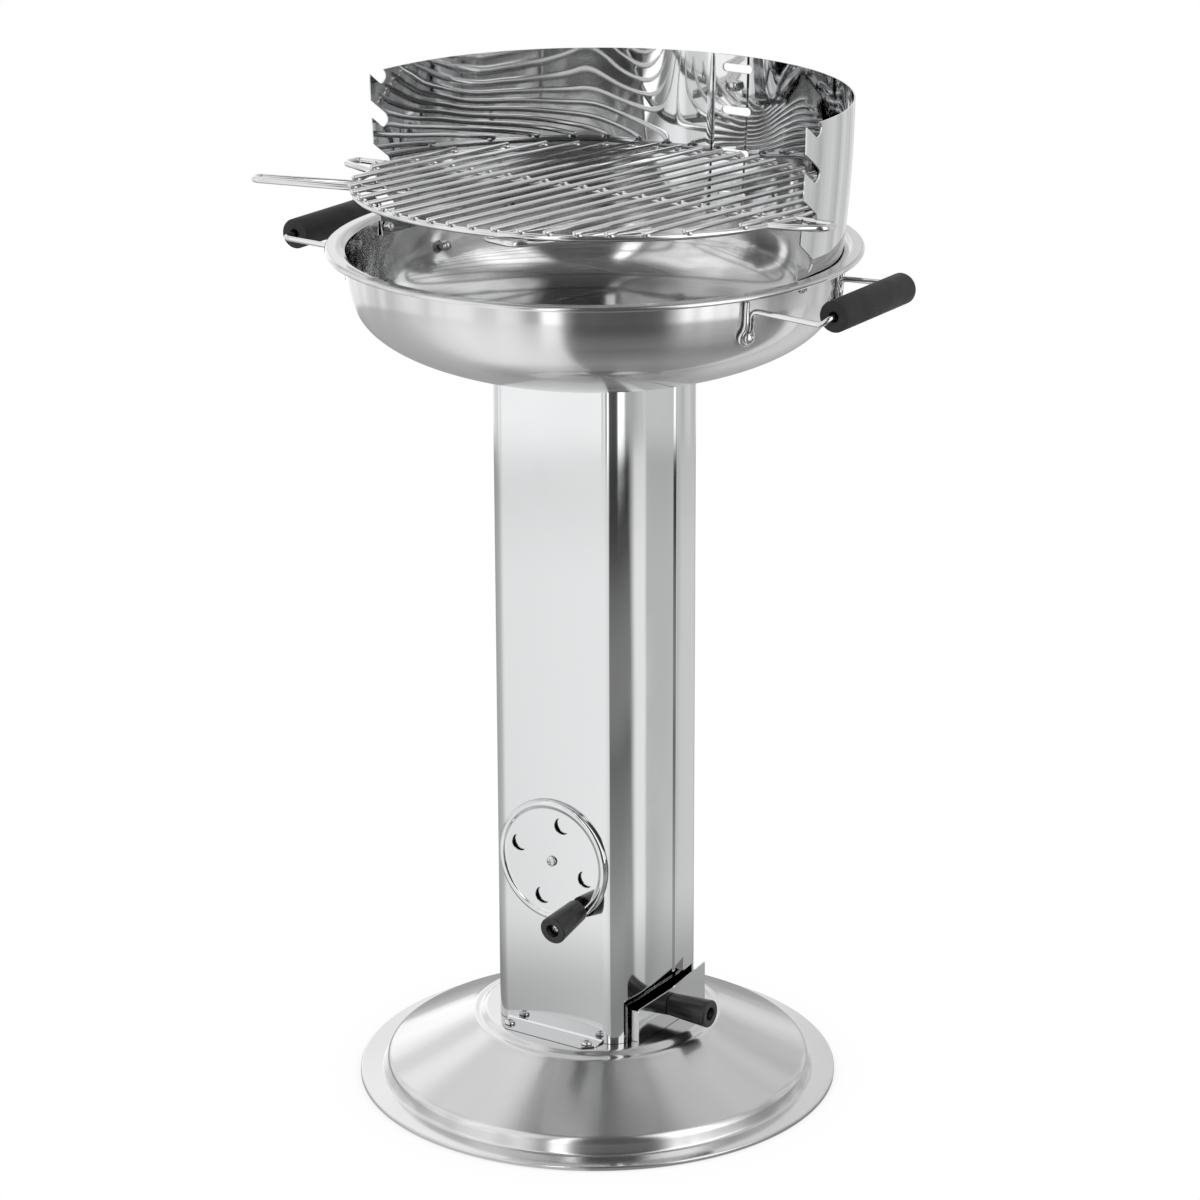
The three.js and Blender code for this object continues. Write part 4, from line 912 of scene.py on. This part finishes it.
def makeHandles():
    bore, mouth, deep, length = (handle[k] for k in ("bore", "mouth", "mouthDepth", "gripLength"))
    radius, edge = handle["gripRadius"], handle["round"]
    outline = [(mouth + 0.6, 0), (radius - edge, 0), (radius - edge * 0.3, edge * 0.3), (radius, edge),
               (radius, length - edge), (radius - edge * 0.3, length - edge * 0.3), (radius - edge, length),
               (mouth + 0.6, length), (mouth, length - 0.6), (mouth, length - deep), (bore, length - deep),
               (bore, deep), (mouth, deep), (mouth, 0.6)]
    for side, word in ((1, "right"), (-1, "left")):
        points = handleEnd(side, -1) + handleEnd(side, 1)[::-1]
        makePiece(word + "HandleWire", [tube(rounded(points, handle["bend"], 8), handle["wire"], 14)],
                  word + "_handle_wire", wireSteel)
        middle = handle["rightMiddle"] if side > 0 else handle["leftMiddle"]
        stand = standing((side * handle["gripX"], middle - length / 2, handle["gripZ"]), (0, 1, 0))
        makeFitting(word + "_grip", [turned(outline, 64)], stand, gripBlack)


# Screws and nuts.
bolt = {"shank": 2.0, "head": 4.0, "headHeight": 2.4, "nut": 4.2, "nutHeight": 3.2, "dome": 4.0, "gap": 0.3,
        "past": 1.5, "cross": 0.9, "crossReach": 2.3, "crossDepth": 1.3, "footPlace": (34, 9.6),
        "bowlPlace": (25, -8), "endTurn": 1.6, "endHeight": 630, "rearHeight": 628.5, "lapHeight": 721}


def makeHead():
    # a pan head with a cross cut into it: radius head cos(t)^0.75, height high (1/4 + 3/4 sin t)
    head, high = bolt["head"], bolt["headHeight"]
    turns = np.radians(np.linspace(0, 90, 8))
    crown = [(head * cos(t) ** 0.75 if t < pi / 2 else 0, high * (0.25 + 0.75 * sin(t))) for t in turns]
    body = turned([(0, -0.2), (head - 0.25, 0.0), (head, 0.25)] + crown, 36)
    arm, reach, deep = bolt["cross"] / 2, bolt["crossReach"], bolt["crossDepth"]
    for cutter in (block((-reach, -arm, high - deep), (reach, arm, high + 1)),
                   block((-arm, -reach, high - deep), (arm, reach, high + 1))):
        body = carved(body, [cutter])
    return body


def nutShapes(domed):
    turns = np.radians(np.arange(6) * 60)
    outline = np.stack([bolt["nut"] * np.cos(turns), bolt["nut"] * np.sin(turns)], -1)
    body = plate(outline, 0, bolt["nutHeight"])
    if not domed:
        bore = drill(bolt["shank"] + bolt["gap"], (0, 0, bolt["nutHeight"] / 2), (0, 0, 1), 5)
        return [carved(body, [bore])]
    rise = np.radians(np.linspace(0, 90, 9))
    base = bolt["nutHeight"]
    crown = [(bolt["nut"] * 0.86 * cos(t) if t < pi / 2 else 0, base + 0.3 + (bolt["dome"] - 0.3) * sin(t))
             for t in rise]
    return [body, turned([(0, base - 0.5), (bolt["nut"] * 0.86, base - 0.5)] + crown, 32)]


crossHead = makeHead()


def addBolt(name, headPoint, outward, stack, domed, roll=0.4):
    # a screw with its head at the given place, and a nut on the far side of what it holds together
    outward = np.asarray(outward, float) / np.linalg.norm(outward)
    extra = bolt["nutHeight"] - bolt["gap"] if domed else bolt["nutHeight"] + bolt["past"]
    length = stack + bolt["gap"] * 2 + extra
    shank = turned([(0, -length), (bolt["shank"] - 0.4, -length), (bolt["shank"], -length + 0.4),
                    (bolt["shank"], 0.1), (0, 0.1)], 24)
    stand = standing(np.asarray(headPoint) + outward * bolt["gap"], outward, roll)
    makeFitting(name + "_screw", (crossHead, shank), stand, boltSteel)
    seat = standing(np.asarray(headPoint) - outward * (stack + bolt["gap"]), -outward, roll * 1.7)
    makeFitting(name + "_nut", nutShapes(domed), seat, boltSteel)


def addPedestalBolts():
    half = column["half"]
    top = column["low"] + column["sheet"]
    for k, name in enumerate(("front_left", "front_right", "rear_left", "rear_right")):
        x, y = (-1) ** (k + 1), -1 if k < 2 else 1
        aside, out = bolt["footPlace"]
        addBolt("foot_" + name, (aside * x, (half + out) * y, top), (0, 0, 1),
                top - foot["plateau"][1] + foot["sheet"], False, 0.3 + k)
        aside, out = bolt["bowlPlace"]
        floor = bowlFloor + bowl["sheet"]
        addBolt("bowl_" + name, (aside * x, (half + out) * y, floor), (0, 0, 1),
                floor - column["high"] + column["sheet"], False, 0.5 + k)


def addShieldBolts():
    slope = (shield["topRadius"] - shield["footRadius"]) / (shield["top"] - shield["foot"])
    ends, end = shield["end"] + bolt["endTurn"], bolt["endHeight"]
    for name, angle, z, layers in (("right_end", ends, end, 1), ("left_end", 180 - ends, end, 1),
                                   ("rear", shield["slotAngle"], bolt["rearHeight"], 2)):
        outside = bowlRadius(z) + bolt["head"] * slope
        inside = shieldRadius(z) - layers * shield["sheet"] - (layers - 1) * bolt["gap"] - bolt["nut"] * slope
        addBolt("windshield_" + name, polar(outside, angle, z), polar(1, angle, 0), outside - inside, True,
                0.2)
    z, angle = bolt["lapHeight"], shield["slotAngle"]
    addBolt("windshield_lap", polar(shieldRadius(z) + bolt["head"] * slope, angle, z), polar(1, angle, 0),
            2 * shield["sheet"] + bolt["gap"] + (bolt["head"] + bolt["nut"]) * slope, True)


def addHandleBolts():
    for side, word in ((1, "right"), (-1, "left")):
        for near, place in ((-1, "front"), (1, "rear")):
            outward = handlePlace(side, near, 0, 1, 0)
            z = handle["eyelet"]
            outside = wireRadius(z + bolt["head"]) + handle["wire"]
            inside = bowlRadius(z) - 3 * bowl["sheet"]
            addBolt("%s_handle_%s" % (word, place), outward * outside + (0, 0, z), outward,
                    outside - inside, True, 0.9)


def makeBolts():
    addPedestalBolts()
    addShieldBolts()
    addHandleBolts()
    addBolt("vent_pivot", ventPoint(0, 0, vent["standOff"]), (0, -1, 0), vent["standOff"] + column["sheet"],
            False, 0.1)


# Vent damper and knobs.
knob = {"length": 33, "neck": 8.5, "end": 10.5, "recess": 5, "recessDepth": 6, "round": 1.4}


def addKnob(node, point, direction, screwPast):
    direction = np.asarray(direction, float)
    length, edge, recess, deep = (knob[k] for k in ("length", "round", "recess", "recessDepth"))
    bore = bolt["shank"] + bolt["gap"]
    floor = length - deep
    side = rounded([(bore, 0), (knob["neck"], 0), (knob["end"], length), (recess, length), (recess, floor),
                    (bore, floor)], [0, 0.5, edge, 0.7, 0.3, 0], 6)
    makeFitting(node, [turned(side, 64)], standing(point, direction), knobBlack)
    shankLength = floor + bolt["gap"] + screwPast
    shank = turned([(0, -shankLength), (bolt["shank"], -shankLength), (bolt["shank"], 0.1), (0, 0.1)], 20)
    stand = standing(np.asarray(point) + direction * (floor + bolt["gap"]), direction, 0.5)
    makeFitting(node + "_screw", (crossHead, shank), stand, boltSteel)


def makeVent():
    radius, off, rise, wide = vent["radius"], vent["standOff"], vent["beadRise"], vent["beadWidth"]
    line = [(radius, bolt["gap"]), (radius, off), (radius - wide * 0.3, off + rise),
            (radius - wide * 0.7, off + rise), (radius - wide, off), (0, off)]
    profile = thickened(rounded(line, [0, 1.2, 1.6, 1.6, 1.6, 0], 5), column["sheet"])
    holes = [drill(vent["holeRadius"], polar(vent["holeCircle"], vent["holeTurn"] + 90 * k, off), (0, 0, 1))
             for k in range(4)]
    disc = carved(turned(profile, 128), holes)
    stand = Matrix.Translation(Vector(ventPoint(0, 0))) @ Matrix.Rotation(pi / 2, 4, "X")
    makePiece("ventDamper", [placed(disc, stand)], "vent_disc", polishedSteel, sharp=30,
              evenFlats=True)
    droop = radians(vent["knobDroop"])
    out = np.array([0, -cos(droop), -sin(droop)])
    seat = rise + bolt["gap"] + knob["neck"] * sin(droop)
    place = ventPoint(vent["knobCircle"], vent["knobTurn"], off) + out * seat
    addKnob("vent_knob", place, out, seat + column["sheet"] * 2)


# Ash drawer.
drawer = {"ajar": 7.5, "half": 42, "trayTop": 75, "trayLength": 108, "frontHalf": 46.5, "frontTop": 78.5,
          "lift": 5, "knobHeight": 66, "sheet": 1.0}


def makeDrawer():
    sheet = drawer["sheet"]
    front = column["half"] + column["gap"] + drawer["ajar"]
    back = front - 0.3 - drawer["trayLength"]
    low, half, top = column["low"], drawer["half"], drawer["trayTop"]
    outer = block((back, -half, low), (front - 0.3, half, top))
    hollow = block((back + sheet, -half + sheet, low + sheet), (front - 0.3 - sheet, half - sheet, top + 5))
    makePiece("ashTray", [carved(outer, [hollow])], "ash_drawer_tray", bowlSteel, sharp=30)
    half, top, lift = drawer["frontHalf"], drawer["frontTop"], drawer["lift"]
    outline = rounded([(0, low), (half, low), (half, top + lift), (0, top), (-half, top), (-half, low),
                       (-0.1, low)], [0, 1.0, 1.5, 3.0, 2.5, 1.0, 0], 6)
    stand = Matrix(((0, 0, 1, front), (1, 0, 0, 0), (0, 1, 0, 0), (0, 0, 0, 1)))
    makePiece("drawerFront", [placed(plate(outline, 0, sheet), stand)], "ash_drawer_front",
              polishedSteel, sharp=30)
    addKnob("ash_drawer_knob", (front + sheet + 0.3, 0, drawer["knobHeight"]), (1, 0, 0), sheet * 3)


for make in (makeFoot, makeColumn, makeBowl, makeGrate, makeWindshield, makeHandles, makeCookingGrill,
             makeVent, makeDrawer, makeBolts):
    make()
    print(make.__name__, "done")


# Floor, world and camera.
# The room round the object is given by compass angle, as the sheet metal shows it: pairs of an angle, counted
# from +X, and a tone. Dark holds pairs of a distance and the floor's tone there; the lighter tone shows.
tent = {"floor": [(-180, 0.45), (-155, 0.55), (-140, 0.80), (-123, 0.97), (-105, 0.97), (-90, 0.93),
                  (-80, 0.85), (-75, 0.85), (-71, 0.2), (-66, 0.0), (40, 0.0), (46, 0.92), (56, 0.92),
                  (56.8, 0.52), (59, 0.54), (62, 0.68), (80, 0.68), (95, 0.50), (110, 0.35), (125, 0.28),
                  (145, 0.35), (165, 0.42), (180, 0.45)],
        "wall": [(-180, 0.80), (-155, 0.85), (-123, 0.97), (-100, 0.88), (-90, 0.70), (-86, 0.25),
                 (-82.5, 0.25), (-80.5, 1.9), (-74.5, 1.9), (-71, 0.3), (-66, 0.10), (-27, 0.10), (-22, 0.60),
                 (-16, 1.5), (12, 1.5), (24, 0.80), (40, 0.40), (50, 0.60), (100, 0.62), (118, 0.75),
                 (135, 1.0), (160, 0.95), (180, 0.80)],
        "dark": [(0.2, 0.45), (0.4, 0.36), (0.6, 0.23), (0.78, 0.16), (0.93, 0.24), (1.1, 0.22), (1.26, 0.16),
                 (1.42, 0.08), (1.62, 0.04), (2.0, 0.04)],
        "centre": (0.055, -0.03, 0), "shade": (0.22, 0.42, 0.6), "fade": (1.25, 1.7, 0.87),
        "edge": (1.66, 1.85), "folds": (0.82, 1.18), "ceiling": (0.88, 0.965), "ceilingTone": 0.14,
        "light": 1.2, "reach": 30.0, "contact": (0.05, 0.72)}


def rampOf(tree, factor, stops):
    # a straight-line curve through (place, value) pairs, places from 0 to 1
    made = addNode(tree, "ShaderNodeValToRGB", Fac=factor)
    band = made.color_ramp.elements
    while len(band) < len(stops):
        band.new(0.5)
    for element, (place, value) in zip(band, stops):
        element.position, element.color = place, (value, value, value, 1)
    return made.outputs[0]


def compassShare(tree, place):
    # the compass angle of a place or direction, -180 to 180 degrees as 0 to 1
    x, y, _ = partsOf(tree, place)
    return math(tree, "ADD", math(tree, "MULTIPLY", math(tree, "ARCTAN2", y, x), 0.5 / pi), 0.5)


def makeFloorTone():
    # Tone by compass angle, or the dark floor's tone by distance where that is lighter; shaded near the foot,
    # fading a little far out, and giving way to the walls of the room beyond its edge.
    group, given, out = newGroup("floorTone", [("Place", "Vector", None), ("Distance", "Float", 1.0)],
                                 [("Tone", "Float")])
    distance, share = given.outputs["Distance"], compassShare(group, given.outputs["Place"])
    tone = rampOf(group, share, [((angle + 180) / 360, value) for angle, value in tent["floor"]])
    reach = tent["dark"][-1][0]
    dark = [(d / reach, value) for d, value in tent["dark"]]
    dark = rampOf(group, math(group, "DIVIDE", distance, reach), dark)
    near, far, level = tent["shade"]
    shade = towards(group, smooth(group, distance, near, far), level, 1.0)
    near, far, level = tent["fade"]
    fade = towards(group, smooth(group, distance, near, far), 1.0, level)
    tone = math(group, "MULTIPLY", math(group, "MAXIMUM", tone, dark), math(group, "MULTIPLY", shade, fade))
    wall = rampOf(group, share, [((angle + 180) / 360, value) for angle, value in tent["wall"]])
    group.links.new(mixed(group, smooth(group, distance, *tent["edge"]), tone, wall), out.inputs["Tone"])
    return group


floorTone = makeFloorTone()


def plainWhite(name, strength):
    # a surface that gives out its own light
    material = bpy.data.materials.new(name)
    material.use_nodes = True
    material.cycles.emission_sampling = "NONE"
    tree = material.node_tree
    tree.nodes.remove(tree.nodes["Principled BSDF"])
    light = addNode(tree, "ShaderNodeEmission", Strength=strength(tree))
    tree.links.new(light.outputs[0], tree.nodes["Material Output"].inputs["Surface"])
    return material


def floorLight(tree):
    # white, with a soft touch of shadow where something stands close
    distance, level = tent["contact"]
    near = addNode(tree, "ShaderNodeAmbientOcclusion", {"samples": 8}, Distance=distance).outputs["AO"]
    return towards(tree, near, level, 1.0)


def tentLight(tree):
    place = tree.nodes.new("ShaderNodeTexCoord").outputs["Object"]
    distance = vector(tree, "LENGTH", vector(tree, "MULTIPLY", place, (1, 1, 0)), output="Value")
    shifted = vector(tree, "SUBTRACT", place, tent["centre"])
    tone = useGroup(tree, floorTone, Place=shifted, Distance=distance).outputs["Tone"]
    direction = vector(tree, "NORMALIZE", place)
    folds = noiseOf(tree, vector(tree, "MULTIPLY", direction, (1, 1, 0.3)), 6.0, 2.0)
    folds = towards(tree, smooth(tree, folds, 0.35, 0.65), *tent["folds"])
    tone = math(tree, "MULTIPLY", tone, mixed(tree, smooth(tree, distance, *tent["edge"]), 1.0, folds))
    tone = mixed(tree, smooth(tree, partsOf(tree, direction)[2], *tent["ceiling"]), tone, tent["ceilingTone"])
    return math(tree, "MULTIPLY", tone, tent["light"])


def makeStudio():
    # the backdrop and the floor are plain white; a soft tent with the room's tones stands round the object,
    # and the camera looks past it
    world = bpy.data.worlds.new("backdrop")
    scene.world = world
    world.use_nodes = True
    world.cycles.sampling_method = "NONE"
    world.node_tree.nodes["Background"].inputs["Color"].default_value = (1, 1, 1, 1)
    size = tent["reach"] / mm
    corners = np.array([(-size, -size, 0), (size, -size, 0), (size, size, 0), (-size, size, 0)])
    floor = bpy.data.objects.new("studioFloor", meshOf("studioFloor", (corners, [[0, 1, 2, 3]])))
    floor.data.materials.append(plainWhite("paleFloor", floorLight))
    turns = np.radians(np.linspace(0, 90, 17))
    dome = np.stack([np.cos(turns), np.sin(turns)], -1) * size + (0, 0.5)
    dome[-1, 0] = 0
    points, faces = turned(np.concatenate([[(0, 0.5)], dome]), 64)
    cloth = bpy.data.objects.new("studioTent", meshOf("studioTent", (points, [face[::-1] for face in faces])))
    cloth.data.materials.append(plainWhite("tentCloth", tentLight))
    cloth.visible_camera = cloth.visible_shadow = False
    for thing in (floor, cloth):
        scene.collection.objects.link(thing)


view = {"place": (1.4801, -2.2792, 1.2736), "turns": ((33, "Z"), (71.63, "X"), (-0.22, "Z")), "lens": 117.93,
        "shift": 0.0035, "far": 50}


def makeCamera():
    camera = bpy.data.objects.new("camera", bpy.data.cameras.new("camera"))
    scene.collection.objects.link(camera)
    stand = Matrix.Translation(view["place"])
    for turn, axis in view["turns"]:
        stand = stand @ Matrix.Rotation(radians(turn), 4, axis)
    camera.matrix_world = stand
    camera.data.sensor_width = 36
    camera.data.lens = view["lens"]
    camera.data.shift_x = view["shift"]
    camera.data.clip_end = view["far"]
    scene.camera = camera


makeStudio()
makeCamera()
scene.view_settings.view_transform = "Standard"
print("studio made")
